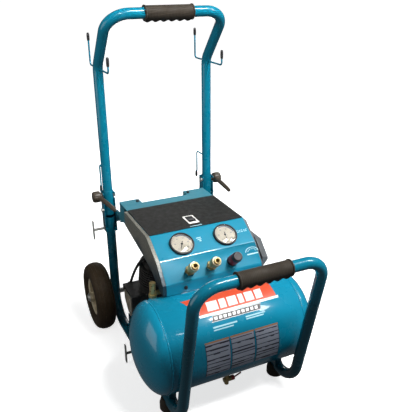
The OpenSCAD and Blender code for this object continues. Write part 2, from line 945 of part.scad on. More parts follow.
// Pressed rim with its hub, the open side towards +X
module rim() {
    rotate([0, 90, 0]) difference() {
        rotate_extrude() polygon([[axle_d / 2 + fit, -29], [16, -29], [16, -8], [44, -8], [52, -17.5],
            [rim_r, -20], [rim_r, -18], [rim_r - 5, -16], [rim_r - 5, 16], [rim_r, 18], [rim_r, 20],
            [52, 17.5], [52, -4], [44, -2], [16, -2], [16, 31], [axle_d / 2 + fit, 31]]);
        for (i = [0:4]) rotate([0, 0, i * 72]) translate([31, 0, -20]) cylinder(r = 6, h = 30);
    }
}

module left_rim() {
    color("ivory") translate([-wheel_x, axle_y, axle_z]) mirror([1, 0, 0]) rim();
}

module right_rim() {
    color("ivory") translate([wheel_x, axle_y, axle_z]) rim();
}

// ---- folding handle ----

// Path of one leg up to the end of its soft bend
module leg_path(d, wall = 0) {
    low = pivot_z - lower_leg_cut;
    straight = handle_bend_z - soft_run - low;
    translate([side_x, upright_y, low]) {
        pipe(straight, d, wall);
        translate([0, 0, straight]) bend(bend_soft_r, handle_lean, d, wall);
    }
}

// A leg with the sleeve that thickens its lower end, bored for its two bolts
module handle_leg() {
    difference() {
        union() {
            leg_path(tube_d, tube_wall);
            translate([side_x, upright_y, sleeve_low])
                pipe(sleeve_top - sleeve_low, tube_d + 2 * sleeve_wall, sleeve_wall + tube_wall);
        }
        translate([0, upright_y, pivot_z]) rod_x(side_x - 40, side_x + 40, bolt_r + fit);
        translate([0, upright_y, clamp_z]) rod_x(side_x - 40, side_x + 40, bolt_r + fit);
    }
}

// The two straight legs and the leaning hoop, joined at the soft bends
module upper_handle_tube() {
    slant = handle_reach - soft_run - hoop_corner_r;
    color("teal") {
        both_sides() handle_leg();
        translate([-side_x, upright_y, handle_bend_z]) rotate([handle_lean, 0, 0])
            translate([0, 0, soft_run]) rotate([0, 0, 90]) {
                hoop(slant, hoop_corner_r, 2 * side_x, tube_d, tube_wall);
                for (y = [0, -2 * side_x]) translate([0, y, 0]) weld_ring(tube_d, tube_wall);
            }
    }
}

module upper_handle_grip() {
    color("black") translate([0, hoop_y, hoop_z]) rotate([handle_lean, 0, 0]) grip();
}

// Wire that leaves the leg along +Z, turns 90 degrees and ends in a straight prong
module prong(reach, prong_len) {
    start = tube_r - 4;
    translate([0, 0, start]) pipe(reach - start - hook_r, hook_d);
    translate([0, 0, reach - hook_r]) {
        bend(hook_r, 90, hook_d);
        after_bend(hook_r, 90) pipe(prong_len, hook_d);
    }
}

module at_leg(z) {
    translate([side_x, upright_y, z]) children();
}

module leg_hooks() {
    difference() {
        union() {
            at_leg(hook_z) rotate([-90, 0, 0]) prong(rear_reach, rear_prong);
            at_leg(hook_z) rotate([90, 0, 0]) rotate([0, 0, 180]) prong(front_reach, front_prong);
            at_leg(cord_hook_z) rotate([-90, 0, 0]) rotate([0, 0, 180]) prong(cord_reach, cord_prong);
        }
        leg_path(tube_d + 2 * touch);
    }
}

module hose_hooks() {
    color("teal") both_sides() leg_hooks();
}

module hook_tip(len) {
    cylinder(r = tip_r, h = len - 3);
    translate([0, 0, len - 3]) cylinder(r1 = tip_r, r2 = tip_r - 1.6, h = 3);
}

module hook_tips() {
    color("black") both_sides() {
        at_leg(hook_z + hook_r + rear_prong) translate([0, rear_reach, 0]) hook_tip(22);
        at_leg(hook_z + hook_r + front_prong) translate([0, -front_reach, 0]) hook_tip(24);
        at_leg(cord_hook_z - hook_r - cord_prong) translate([0, cord_reach, 0]) mirror([0, 0, 1])
            hook_tip(22);
    }
}

module clamp_bolts() {
    inner = side_x - bracket_gap - bracket_wall;
    color("silver") both_sides() translate([0, upright_y, clamp_z]) {
        rod_x(inner - 0.3, side_x + 34, bolt_r);
        rod_x(inner - 4, inner - 0.3, 6.5);
    }
}

// Clamp lever seen from the middle: hub along +X, arm towards -Y and down
module clamp_lever(inward) {
    outer = side_x + bracket_gap + bracket_wall + gap;
    difference() {
        union() {
            rod_x(outer, outer + 5, 9);
            rod_x(outer + 5, outer + 29, 17);
            translate([outer + 12, 0, 0]) rotate([90 + 10, 0, inward]) cylinder(r1 = 8, r2 = 6, h = 96);
        }
        rod_x(0, side_x + 35, bolt_r + fit);
    }
}

module left_clamp_lever() {
    color([0.2, 0.17, 0.14]) mirror([1, 0, 0]) translate([0, upright_y, clamp_z]) clamp_lever(-16);
}

module right_clamp_lever() {
    color([0.2, 0.17, 0.14]) translate([0, upright_y, clamp_z]) clamp_lever(4);
}

tank_shell();
tank_heads();
tank_saddles();
side_tubes();
front_handle_tube();
front_handle_grip();
front_feet();
axle();
hinge_brackets();
fasteners();
cord_posts();
cross_channel();
console_panel();
console_mat();
left_side_cover();
right_side_cover();
gauge_cases();
gauge_dials();
gauge_lenses();
coupler_bodies();
regulator_body();
air_manifold();
switch_bezel();
pressure_switch();
discharge_tube();
check_valve();
safety_valve();
drain_valve();
pump_base();
pump_crankcase();
crankcase_cover();
pump_cylinder();
pump_head();
air_filter();
motor_shell();
motor_stator();
power_cable();
tank_needle();
outlet_needle();
left_coupler_sleeve();
right_coupler_sleeve();
regulator_knob();
switch_rocker();
safety_ring();
drain_lever();
piston();
connecting_rod();
motor_rotor();
cooling_fan();
left_tyre();
right_tyre();
left_rim();
right_rim();
upper_handle_tube();
upper_handle_grip();
hose_hooks();
hook_tips();
clamp_bolts();
left_clamp_lever();
right_clamp_lever();
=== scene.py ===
"""Looks of the portable air compressor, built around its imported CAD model. Metres, +Z up, front towards -Y."""

import json
import random
from math import cos, exp, pi, radians, sin, sqrt, tau

import bmesh
import bpy
from mathutils import Matrix, Vector


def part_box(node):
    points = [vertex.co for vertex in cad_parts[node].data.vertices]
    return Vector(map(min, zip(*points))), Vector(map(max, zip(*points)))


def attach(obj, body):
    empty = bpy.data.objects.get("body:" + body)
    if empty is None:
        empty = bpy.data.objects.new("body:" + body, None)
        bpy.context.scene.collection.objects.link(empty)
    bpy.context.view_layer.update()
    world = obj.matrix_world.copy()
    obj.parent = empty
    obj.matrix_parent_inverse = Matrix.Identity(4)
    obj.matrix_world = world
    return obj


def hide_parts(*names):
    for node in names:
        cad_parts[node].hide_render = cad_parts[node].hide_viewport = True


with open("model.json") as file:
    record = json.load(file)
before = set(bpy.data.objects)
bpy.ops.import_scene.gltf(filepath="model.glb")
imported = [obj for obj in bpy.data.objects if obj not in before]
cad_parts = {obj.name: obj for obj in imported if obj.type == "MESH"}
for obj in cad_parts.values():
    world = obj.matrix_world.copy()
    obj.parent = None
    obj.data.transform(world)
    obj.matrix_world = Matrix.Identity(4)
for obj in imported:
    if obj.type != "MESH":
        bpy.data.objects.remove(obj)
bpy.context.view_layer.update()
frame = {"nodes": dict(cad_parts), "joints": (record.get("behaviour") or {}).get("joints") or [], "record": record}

MM = 0.001
NODES = frame["nodes"]
JOINTS = {joint["name"]: joint for joint in frame["joints"]}
MOUNTS = {mount["name"]: mount for mount in frame["record"]["mounts"]}
BODY_OF = {node: body for body, nodes in frame["record"]["behaviour"]["bodies"].items() for node in nodes}
SLOT_OF = {part["node"]: part["material_slot"] for part in frame["record"]["subparts"]}

# ---- places taken from the frame ----

TUBE_R = 14.3 * MM
LOW, HIGH = 0, 1


def low(node):
    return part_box(node)[LOW]


def high(node):
    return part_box(node)[HIGH]


def middle(node):
    return (low(node) + high(node)) / 2


def joint_place(name):
    """Where a joint's axis passes, and the axis."""
    joint = JOINTS[name]
    return Vector(joint.get("pos_m", (0, 0, 0))), Vector(joint["axis"]).normalized()


SIDE_X = high("side_tubes").x - TUBE_R
TANK_R = (high("tank_shell").z - low("tank_shell").z) / 2
TANK_Y = middle("tank_shell").y
TANK_Z = middle("tank_shell").z
SHELL_HALF = high("tank_shell").x
GAUGE_NORMAL = joint_place("tank_hand_turn")[1]
LOWER_NORMAL = joint_place("regulator_turn")[1]


# ---- mesh tools ----

def mm(*points):
    """Points given in millimetres, as metres."""
    return [tuple(c * MM for c in point) for point in points]


def turned_to(axis, up=(0, 0, 1)):
    """Rotation that takes local Z to axis, with local Y as near to up as it goes."""
    z = Vector(axis).normalized()
    up = Vector(up)
    if abs(z.dot(up)) > 0.999:
        up = Vector((0, 1, 0))
    x = up.cross(z).normalized()
    y = z.cross(x)
    return Matrix((x, y, z)).transposed().to_4x4()


def shift(x, y, z):
    """Move by an offset in millimetres."""
    return Matrix.Translation((x * MM, y * MM, z * MM))


def placed(point, axis=(0, 0, 1), up=(0, 0, 1)):
    return Matrix.Translation(Vector(point)) @ turned_to(axis, up)


def lathe(profile, segments=64, place=None, wobble=None):
    """Verts and faces of a profile of (radius, height) pairs turned round local Z. Radius 0 closes an end."""
    verts, faces, rings = [], [], []
    for r, z in profile:
        if r <= 1e-7:
            rings.append([len(verts)])
            verts.append(Vector((0, 0, z)))
            continue
        ring = []
        for i in range(segments):
            a = tau * i / segments
            radius = r if wobble is None else wobble(r, z, a)
            ring.append(len(verts))
            verts.append(Vector((radius * cos(a), radius * sin(a), z)))
        rings.append(ring)
    for a, b in zip(rings, rings[1:]):
        faces += stitch(a, b)
    return moved((verts, faces), place) if place is not None else (verts, faces)


def stitch(a, b):
    """Faces between two rings of points, either of which may be a single point."""
    if len(a) == 1 and len(b) == 1:
        return []
    n = max(len(a), len(b))
    faces = []
    for i in range(n):
        j = (i + 1) % n
        if len(a) == 1:
            faces.append((a[0], b[j], b[i]))
        elif len(b) == 1:
            faces.append((a[i], a[j], b[0]))
        else:
            faces.append((a[i], a[j], b[j], b[i]))
    return faces


def ribbon(loops, capped=True):
    """Skin over a row of equally long loops of points."""
    verts, faces, rings = [], [], []
    for loop in loops:
        rings.append(list(range(len(verts), len(verts) + len(loop))))
        verts += loop
    for a, b in zip(rings, rings[1:]):
        faces += stitch(a, b)
    if capped:
        faces += [tuple(reversed(rings[0])), tuple(rings[-1])]
    return verts, faces


def swept(points, radius, sides=24):
    """Round bar along points. radius is a number or a function of the share of the way along."""
    points = [Vector(p) for p in points]
    count = len(points)
    tangents = []
    for i in range(count):
        ahead = points[min(i + 1, count - 1)]
        behind = points[max(i - 1, 0)]
        tangents.append((ahead - behind).normalized())
    normal = tangents[0].orthogonal().normalized()
    loops = []
    for i, (p, t) in enumerate(zip(points, tangents)):
        normal = (normal - t * normal.dot(t)).normalized()
        side = t.cross(normal)
        r = radius(i / (count - 1)) if callable(radius) else radius
        turns = [tau * k / sides for k in range(sides)]
        loops.append([p + (normal * cos(a) + side * sin(a)) * r for a in turns])
    return ribbon(loops)


def joined(*shapes):
    """One shape from several."""
    verts, faces = [], []
    for v, f in shapes:
        start = len(verts)
        verts += list(v)
        faces += [tuple(i + start for i in face) for face in f]
    return verts, faces


def moved(shape, place):
    return [place @ Vector(v) for v in shape[0]], shape[1]


def mirrored(shape):
    """The same shape on the other side of the middle plane."""
    return [Vector((-v[0], v[1], v[2])) for v in shape[0]], [tuple(reversed(f)) for f in shape[1]]


def from_bmesh(bm):
    bm.verts.ensure_lookup_table()
    bm.verts.index_update()
    shape = [v.co.copy() for v in bm.verts], [tuple(v.index for v in f.verts) for f in bm.faces]
    bm.free()
    return shape


def block(corner, size, edge=0.6 * MM, steps=2):
    """Box from its lowest corner, with rounded edges."""
    bm = bmesh.new()
    bmesh.ops.create_cube(bm, size=1)
    for v in bm.verts:
        v.co = Vector(corner[i] + size[i] * (v.co[i] + 0.5) for i in range(3))
    if edge:
        bmesh.ops.bevel(bm, geom=bm.edges[:], offset=edge, segments=steps, profile=0.5, affect="EDGES")
    return from_bmesh(bm)


def slab(outline, thick, edge=0.5 * MM, steps=2, place=None):
    """Flat plate from an outline of (x, y) points, rising thick along local Z, with rounded rims."""
    bm = bmesh.new()
    base = bm.faces.new([bm.verts.new((x, y, 0)) for x, y in outline])
    lifted = bmesh.ops.extrude_face_region(bm, geom=[base])
    tops = [g for g in lifted["geom"] if isinstance(g, bmesh.types.BMVert)]
    bmesh.ops.translate(bm, verts=tops, vec=(0, 0, thick))
    bmesh.ops.recalc_face_normals(bm, faces=bm.faces[:])
    if edge:
        rims = [e for e in bm.edges if abs(e.verts[0].co.z - e.verts[1].co.z) < 1e-9]
        bmesh.ops.bevel(bm, geom=rims, offset=edge, segments=steps, profile=0.5, affect="EDGES")
    shape = from_bmesh(bm)
    return moved(shape, place) if place is not None else shape


def arc(centre, radius, start, end, steps):
    """Points of an arc in the plane, angles in degrees."""
    turns = [radians(start + (end - start) * i / steps) for i in range(steps + 1)]
    return [(centre[0] + radius * cos(a), centre[1] + radius * sin(a)) for a in turns]


def rounded_rect(width, height, radius, steps=5):
    """Outline of a rectangle round the origin with round corners."""
    w, h = width / 2 - radius, height / 2 - radius
    return (arc((w, -h), radius, -90, 0, steps) + arc((w, h), radius, 0, 90, steps)
            + arc((-w, h), radius, 90, 180, steps) + arc((-w, -h), radius, 180, 270, steps))


def hex_head(across, height, washer=True):
    """Chamfered hex head, standing on its washer at z = 0."""
    base = 1.2 * MM if washer else 0
    shapes = []
    if washer:
        r = across * 0.66
        shapes.append(lathe([(0, 0), (r, 0), (r, 0.9 * MM), (r - 0.3 * MM, 1.2 * MM), (0, 1.2 * MM)], 32))
    corner = across / 2 / cos(pi / 6)
    chamfer = corner * 0.12
    shapes.append(lathe([(0, base), (corner, base), (corner, base + height - chamfer * 0.6),
                         (corner - chamfer, base + height), (0, base + height)], 6))
    return joined(*shapes)


def pan_head(radius, height):
    """Round screw head with a cross recess, standing on z = 0."""
    slot = radius * 0.55
    width = radius * 0.17
    dome = [(radius * cos(a), height * sin(a)) for a in (0.0, 0.35, 0.7, 1.05, 1.35)]
    head = lathe([(0, 0), (radius, 0)] + dome[1:] + [(0, height)], 32)
    bars = [block((-slot, -width, height - 0.15 * MM), (2 * slot, 2 * width, 0.3 * MM), 0.1 * MM, 1),
            block((-width, -slot, height - 0.15 * MM), (2 * width, 2 * slot, 0.3 * MM), 0.1 * MM, 1)]
    return joined(head, *bars)


def added(name, data):
    """New object in the scene."""
    made = bpy.data.objects.new(name, data)
    bpy.context.scene.collection.objects.link(made)
    return made


def piece(name, shape, look, body="frame", nodes=(), smooth=38):
    """A visible piece that rides on a body and may stand for CAD nodes. smooth is the sharpest smooth angle."""
    verts, faces = shape
    mesh = bpy.data.meshes.new(name)
    mesh.from_pydata([tuple(v) for v in verts], [], faces)
    mesh.validate()
    bm = bmesh.new()
    bm.from_mesh(mesh)
    bmesh.ops.remove_doubles(bm, verts=bm.verts[:], dist=1e-6)
    bmesh.ops.recalc_face_normals(bm, faces=bm.faces[:])
    bm.to_mesh(mesh)
    bm.free()
    mesh.materials.append(MATERIALS[look])
    for polygon in mesh.polygons:
        polygon.use_smooth = True
    mesh.set_sharp_from_angle(angle=radians(smooth))
    made = added(name, mesh)
    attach(made, body)
    if nodes:
        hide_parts(*nodes)
    return made


def stands_for(node, shape, look=None, smooth=38):
    """A detailed piece in place of one CAD node, on the same body and slot."""
    return piece("look_" + node, shape, look or SLOT_OF[node], BODY_OF[node], (node,), smooth)


def cad_shape(node):
    """A CAD node's own mesh, with each flat face in one piece."""
    bm = bmesh.new()
    bm.from_mesh(NODES[node].data)
    bmesh.ops.remove_doubles(bm, verts=bm.verts[:], dist=2e-6)
    bmesh.ops.dissolve_limit(bm, angle_limit=radians(0.5), verts=bm.verts[:], edges=bm.edges[:])
    return bm


def rounded(made, width, steps=2, angle=28, clamp=False):
    """Rounds a piece's edges that are sharper than an angle in degrees."""
    bevel = made.modifiers.new("round", "BEVEL")
    bevel.width = width
    bevel.segments = steps
    bevel.limit_method = "ANGLE"
    bevel.angle_limit = radians(angle)
    bevel.use_clamp_overlap = clamp


def softened(node, width, steps=2, angle=28):
    """A CAD node's own shape with its sharp edges rounded. width is in millimetres."""
    rounded(stands_for(node, from_bmesh(cad_shape(node))), width * MM, steps, angle, True)


def repaint(node):
    """A new material for a CAD node that keeps its shape."""
    mesh = NODES[node].data
    mesh.materials.clear()
    mesh.materials.append(MATERIALS[SLOT_OF[node]])


# ---- materials ----

COLOURS = {
    **{material["slot"]: material["base_color"] for material in frame["record"]["materials"]},
    "tank_paint": (0.004, 0.24, 0.39), "frame_paint": (0.002, 0.19, 0.3), "channel_paint": (0.06, 0.25, 0.33),
    "console_paint": (0.006, 0.235, 0.375), "mat": (0.0145, 0.0145, 0.014),
    # The paler brass below is a lighter copy of brass, a painted highlight on the couplers' front rims.
    "grip_rubber": (0.023, 0.0175, 0.012), "silver_cover": (0.2, 0.2, 0.175), "brass": (0.55, 0.43, 0.2),
    "highlight_brass": (0.8, 0.72, 0.5), "rim_paint": (0.54, 0.47, 0.33), "tyre": (0.022, 0.013, 0.005),
    "knob_cap": (0.02, 0.016, 0.021), "knob_collar": (0.16, 0.004, 0.006), "lens": (1.0, 1.0, 1.0),
    "lever_plastic": (0.04, 0.031, 0.022), "black_casting": (0.008, 0.008, 0.0075),
    "aluminium": (0.62, 0.56, 0.47), "dial": (0.8, 0.74, 0.62), "floor": (0.78, 0.79, 0.8),
    "orange_ink": (0.6, 0.075, 0.03), "brown_ink": (0.34, 0.16, 0.07), "white_ink": (0.78, 0.80, 0.80),
    "black_ink": (0.012, 0.012, 0.02), "grey_ink": (0.27, 0.3, 0.38), "pale_ink": (0.3, 0.33, 0.38),
    "ice_ink": (0.36, 0.64, 0.73),
}
MATERIALS = {}


class Shader:
    """Small builder for one Principled material of a named colour."""

    def __init__(self, name, rough, metal=0.0, **fixed):
        self.material = MATERIALS[name] = bpy.data.materials.new(name)
        self.material.use_nodes = True
        self.tree = self.material.node_tree
        self.out = self.tree.nodes["Principled BSDF"]
        self.colour = (*COLOURS[name][:3], 1.0)
        self.out.inputs["Base Color"].default_value = self.colour
        self.out.inputs["Roughness"].default_value = rough
        self.out.inputs["Metallic"].default_value = metal
        for socket, value in fixed.items():
            self.out.inputs[socket.replace("_", " ")].default_value = value
        self.where = self.node("ShaderNodeTexCoord").outputs["Object"]
        self.mixed = None

    def node(self, kind, **settings):
        made = self.tree.nodes.new(kind)
        for key, value in settings.items():
            setattr(made, key, value)
        return made

    def link(self, a, b):
        self.tree.links.new(a, b)

    def shade(self, factor):
        return tuple(min(1.0, c * factor) for c in self.colour[:3])

    def noise(self, scale, detail=3.0, rough=0.55):
        made = self.node("ShaderNodeTexNoise")
        made.inputs["Scale"].default_value = scale
        made.inputs["Detail"].default_value = detail
        made.inputs["Roughness"].default_value = rough
        self.link(self.where, made.inputs["Vector"])
        return made.outputs["Fac"]

    def combined(self, operation, a, b, **settings):
        made = self.node("ShaderNodeMath", operation=operation, **settings)
        self.link(a, made.inputs[0])
        self.link(b, made.inputs[1])
        return made.outputs["Value"]

    def height(self):
        """Height over the floor, a little uneven."""
        split = self.node("ShaderNodeSeparateXYZ")
        self.link(self.where, split.inputs[0])
        return self.combined("ADD", split.outputs["Z"], self.ramp(self.noise(12, 3), 0.3, 0.7, -0.02, 0.02))

    def ramp(self, value, start, end, low=0.0, high=1.0):
        made = self.node("ShaderNodeMapRange")
        made.inputs["From Min"].default_value = start
        made.inputs["From Max"].default_value = end
        made.inputs["To Min"].default_value = low
        made.inputs["To Max"].default_value = high
        self.link(value, made.inputs["Value"])
        return made.outputs["Result"]

    def tint(self, mask, colour):
        """Mixes another colour into the base where mask is high."""
        mix = self.node("ShaderNodeMix", data_type="RGBA")
        self.link(mask, mix.inputs[0])
        if self.mixed is None:
            mix.inputs[6].default_value = self.colour
        else:
            self.link(self.mixed, mix.inputs[6])
        mix.inputs[7].default_value = (*colour, 1.0)
        self.mixed = mix.outputs[2]
        self.link(self.mixed, self.out.inputs["Base Color"])

    def roughen(self, grain, low, high):
        self.link(self.ramp(self.noise(*grain), 0.3, 0.7, low, high), self.out.inputs["Roughness"])

    def bump(self, grain, height, strength):
        made = self.node("ShaderNodeBump")
        made.inputs["Distance"].default_value = height
        made.inputs["Strength"].default_value = strength
        self.link(self.noise(*grain), made.inputs["Height"])
        self.link(made.outputs["Normal"], self.out.inputs["Normal"])

    def edges(self, radius):
        """High along sharp edges, from the difference between the rounded and the true normal."""
        rounded = self.node("ShaderNodeBevel", samples=4)
        rounded.inputs["Radius"].default_value = radius
        true = self.node("ShaderNodeNewGeometry")
        dot = self.node("ShaderNodeVectorMath", operation="DOT_PRODUCT")
        self.link(rounded.outputs["Normal"], dot.inputs[0])
        self.link(true.outputs["Normal"], dot.inputs[1])
        return self.ramp(dot.outputs["Value"], 0.98, 0.80)

    def wear(self, radius, scale, detail, rough, start, end):
        """Broken patches along sharp edges."""
        patches = self.ramp(self.noise(scale, detail, rough), start, end)
        return self.combined("MULTIPLY", self.edges(radius), patches, use_clamp=True)


def enamel(name, rough, deep=0.78, worn=True, ground_shade=0.0, ground_shade_span=(0.46, 0.32)):
    """Gloss enamel: soft colour drift, orange peel, chipped edges, and painted shade that darkens it towards the
    ground.
    """
    s = Shader(name, rough, Coat_Weight=0.5, Coat_Roughness=0.06, Specular_IOR_Level=0.25)
    s.tint(s.ramp(s.noise(5, 3), 0.3, 0.75), s.shade(deep))
    s.tint(s.ramp(s.noise(60, 5, 0.7), 0.6, 0.85, 0, 0.2), s.shade(1.25))
    if ground_shade:
        # Painted shade: the colour darkens by height towards the ground, standing in for shade near the floor.
        s.tint(s.ramp(s.height(), *ground_shade_span, 0, ground_shade), s.shade(0.25))
    if worn:
        s.tint(s.wear(0.9 * MM, 260, 4, 0.7, 0.56, 0.64), s.shade(2.2))
    s.roughen((22, 4), rough * 0.8, rough * 1.6)
    s.bump((300, 2), 0.00003, 0.4)


def moulded(name, rough, grain=900, sheen=0.0, light=1.6, gloss=0.45):
    """Moulded plastic or rubber with a fine grain and paler rubbed edges."""
    s = Shader(name, rough, Specular_IOR_Level=gloss, Sheen_Weight=sheen)
    s.tint(s.ramp(s.noise(16, 4), 0.35, 0.75, 0, 0.7), s.shade(light))
    s.tint(s.wear(0.9 * MM, 120, 3, 0.55, 0.35, 0.6), s.shade(light * 2))
    s.roughen((45, 4), rough * 0.85, min(1.0, rough * 1.25))
    s.bump((grain, 2), 0.00008, 0.6)


def metal(name, rough, tarnish=None, cast=False, solid=0.0):
    """Bare metal with fine scratches, or the coarse skin of a casting. solid is how much of it is dull."""
    s = Shader(name, rough, 1.0 - solid)
    s.tint(s.ramp(s.noise(30, 5), 0.4, 0.75, 0, 0.8), tarnish or s.shade(0.72))
    s.roughen((90, 4, 0.6), rough * 0.7, min(1.0, rough * 1.7))
    if cast:
        s.bump((520, 4), 0.00022, 0.7)
    else:
        s.bump((700, 2, 0.6), 0.00003, 0.5)


def printed(name, rough):
    """Flat printed ink or a sticker, slightly uneven."""
    s = Shader(name, rough, Specular_IOR_Level=0.4)
    s.tint(s.ramp(s.noise(60, 4), 0.4, 0.8, 0, 0.5), s.shade(0.84))
    s.roughen((140, 3), rough * 0.8, rough * 1.4)


def black_casting():
    """Black painted casting, dusty in patches."""
    s = Shader("black_casting", 0.5, Specular_IOR_Level=0.5)
    s.tint(s.ramp(s.noise(24, 5, 0.7), 0.45, 0.8, 0, 0.7), (0.03, 0.026, 0.022))
    s.tint(s.wear(1.0 * MM, 160, 3, 0.55, 0.45, 0.6), (0.13, 0.125, 0.12))
    s.roughen((60, 4), 0.38, 0.65)
    s.bump((480, 4), 0.0003, 0.7)


def mat_cover():
    """Dark ribbed-grain mat on the console's flat top."""
    s = Shader("mat", 0.62, Specular_IOR_Level=0.35)
    s.tint(s.ramp(s.noise(9, 4), 0.35, 0.75), s.shade(1.5))
    s.tint(s.ramp(s.noise(900, 2), 0.5, 0.7, 0, 0.5), s.shade(2.2))
    s.roughen((70, 3), 0.5, 0.72)
    s.bump((1300, 2), 0.00012, 0.8)


def silver_cover():
    """Silver-grey speckled enamel of the side cover, with painted shade: dark teal towards its lower end."""
    s = Shader("silver_cover", 0.4, 0.15, Specular_IOR_Level=0.5)
    s.tint(s.ramp(s.noise(240, 4, 0.7), 0.42, 0.62), s.shade(0.62))
    s.tint(s.ramp(s.noise(700, 3, 0.7), 0.56, 0.7, 0, 0.8), s.shade(1.5))
    # Painted shade: the cover's lower end is tinted dark teal by height.
    s.tint(s.ramp(s.height(), 0.385, 0.345, 0, 0.94), (0.006, 0.03, 0.05))
    s.roughen((260, 4), 0.3, 0.55)
    s.bump((300, 4), 0.00025, 0.6)


def lens_glass():
    s = Shader("lens", 0.02, Transmission_Weight=1.0, IOR=1.45)
    s.roughen((40, 3), 0.01, 0.05)


def tyre_rubber():
    s = Shader("tyre", 0.72, Specular_IOR_Level=0.25)
    s.tint(s.ramp(s.noise(14, 5, 0.7), 0.4, 0.75), (0.036, 0.024, 0.012))
    s.tint(s.wear(1.2 * MM, 90, 3, 0.55, 0.4, 0.6), (0.08, 0.06, 0.042))
    s.roughen((40, 4), 0.6, 0.85)
    s.bump((650, 4), 0.0002, 0.6)


# The tank and frame paints darken towards the ground: painted shade, strongest on the frame's lower tubes.
enamel("tank_paint", 0.22, worn=False, ground_shade=0.35, ground_shade_span=(0.17, 0.06))
enamel("frame_paint", 0.22, ground_shade=0.85)
enamel("console_paint", 0.32, 0.86)
enamel("black_paint", 0.35, worn=False)
for name, rough in (("channel_paint", 0.34), ("grey_steel", 0.4), ("rim_paint", 0.22)):
    enamel(name, rough)
moulded("grip_rubber", 0.68, 1100, 0.05, gloss=0.28)
moulded("grey_cover", 0.5, 700)
for name, rough in (("black_plastic", 0.42), ("knob_collar", 0.42), ("cable_rubber", 0.5), ("knob_cap", 0.45)):
    moulded(name, rough)
moulded("red_plastic", 0.4, light=1.3)
moulded("lever_plastic", 0.42, 800)
metal("plated_steel", 0.32)
metal("brass", 0.34, tarnish=(0.32, 0.22, 0.09), solid=0.25)
# Paler copy of the brass for the couplers' front rims: a painted highlight.
metal("highlight_brass", 0.3, tarnish=(0.6, 0.5, 0.3), solid=0.4)
metal("aluminium", 0.38, cast=True)
metal("copper", 0.3, tarnish=(0.36, 0.17, 0.09))
metal("winding", 0.35)
for name, rough in (("needle", 0.3), ("white_plastic", 0.35), ("orange_ink", 0.35), ("white_ink", 0.38),
                    ("black_ink", 0.38), ("brown_ink", 0.4), ("ice_ink", 0.4), ("grey_ink", 0.42),
                    ("pale_ink", 0.42), ("dial", 0.5)):
    printed(name, rough)
black_casting()
mat_cover()
silver_cover()
lens_glass()
tyre_rubber()


# ---- tank ----

DOME_DEPTH = high("tank_heads").x - SHELL_HALF
TANK_PLACE = placed((0, TANK_Y, TANK_Z), (1, 0, 0))


def weld_bead(radius, thick, pitch, seed):
    """Ring of overlapping weld ripples round local Z."""
    rng = random.Random(seed)
    ripples = round(tau * radius / pitch)
    phases = [rng.uniform(0.75, 1.15) for _ in range(ripples)]

    def lumpy(r, z, a):
        place = a / tau * ripples
        ripple = phases[int(place) % ripples] * abs(sin(pi * place)) ** 0.6
        return r + (r > radius) * thick * 0.35 * ripple

    turns = [pi * i / 8 for i in range(9)]
    profile = [(radius - 0.4 * MM + thick * sin(a), thick * 1.6 * cos(a)) for a in turns]
    return lathe(profile, ripples * 4, None, lumpy)


def build_tank():
    """Rolled shell with its lengthwise seam, and two pressed heads with their round seams."""
    edge = 1.2 * MM
    wall = 3 * MM
    shell = lathe([(TANK_R - wall, -SHELL_HALF), (TANK_R - edge, -SHELL_HALF), (TANK_R, -SHELL_HALF + edge),
                   (TANK_R, 0), (TANK_R, SHELL_HALF - edge), (TANK_R - edge, SHELL_HALF),
                   (TANK_R - wall, SHELL_HALF)], 160, TANK_PLACE)
    seams = [moved(weld_bead(TANK_R, 1.3 * MM, 3.2 * MM, side + 5),
                   TANK_PLACE @ Matrix.Translation((0, 0, side * SHELL_HALF))) for side in (-1, 1)]
    ripples = []
    count = 118
    seam_angle, seam_r = 1.0, TANK_R - 0.3 * MM
    for i in range(count * 3):
        x = -SHELL_HALF + 2 * SHELL_HALF * i / (count * 3 - 1)
        ripples.append((x, TANK_Y + seam_r * cos(seam_angle), TANK_Z - seam_r * sin(seam_angle)))
    seam = swept(ripples, lambda t: (1.1 + 0.35 * abs(sin(pi * t * count))) * MM, 10)
    stands_for("tank_shell", joined(shell, *seams, seam), smooth=50)

    turns = [pi / 2 * i / 28 for i in range(28)]
    profile = [(TANK_R * cos(a), DOME_DEPTH * sin(a)) for a in turns] + [(0, DOME_DEPTH)]
    dome = lathe([(TANK_R - wall, 0)] + profile, 160, TANK_PLACE @ Matrix.Translation((0, 0, SHELL_HALF)))
    stands_for("tank_heads", joined(dome, mirrored(dome)), smooth=50)


def on_tank(x, angle, lift):
    """Point on the shell, angle in degrees from the front towards the top."""
    a = radians(angle)
    r = TANK_R + lift
    return Vector((x, TANK_Y - r * cos(a), TANK_Z + r * sin(a)))


def tank_patch(top, foot, lift=0.25 * MM):
    """Thin sticker wrapped round the shell. top and foot are (angle, left x, right x), x in millimetres."""
    steps = max(1, round(abs(top[0] - foot[0]) / 2))
    root = -0.3 * MM
    loops = []
    for i in range(steps + 1):
        t = i / steps
        angle, left, right = (top[k] + (foot[k] - top[k]) * t for k in range(3))
        corners = ((left, lift), (right, lift), (right, root), (left, root))
        loops.append([on_tank(x * MM, angle, rise) for x, rise in corners])
    return ribbon(loops)


RULE_LIFT = 0.4 * MM
BORDER_LIFT = 0.42 * MM


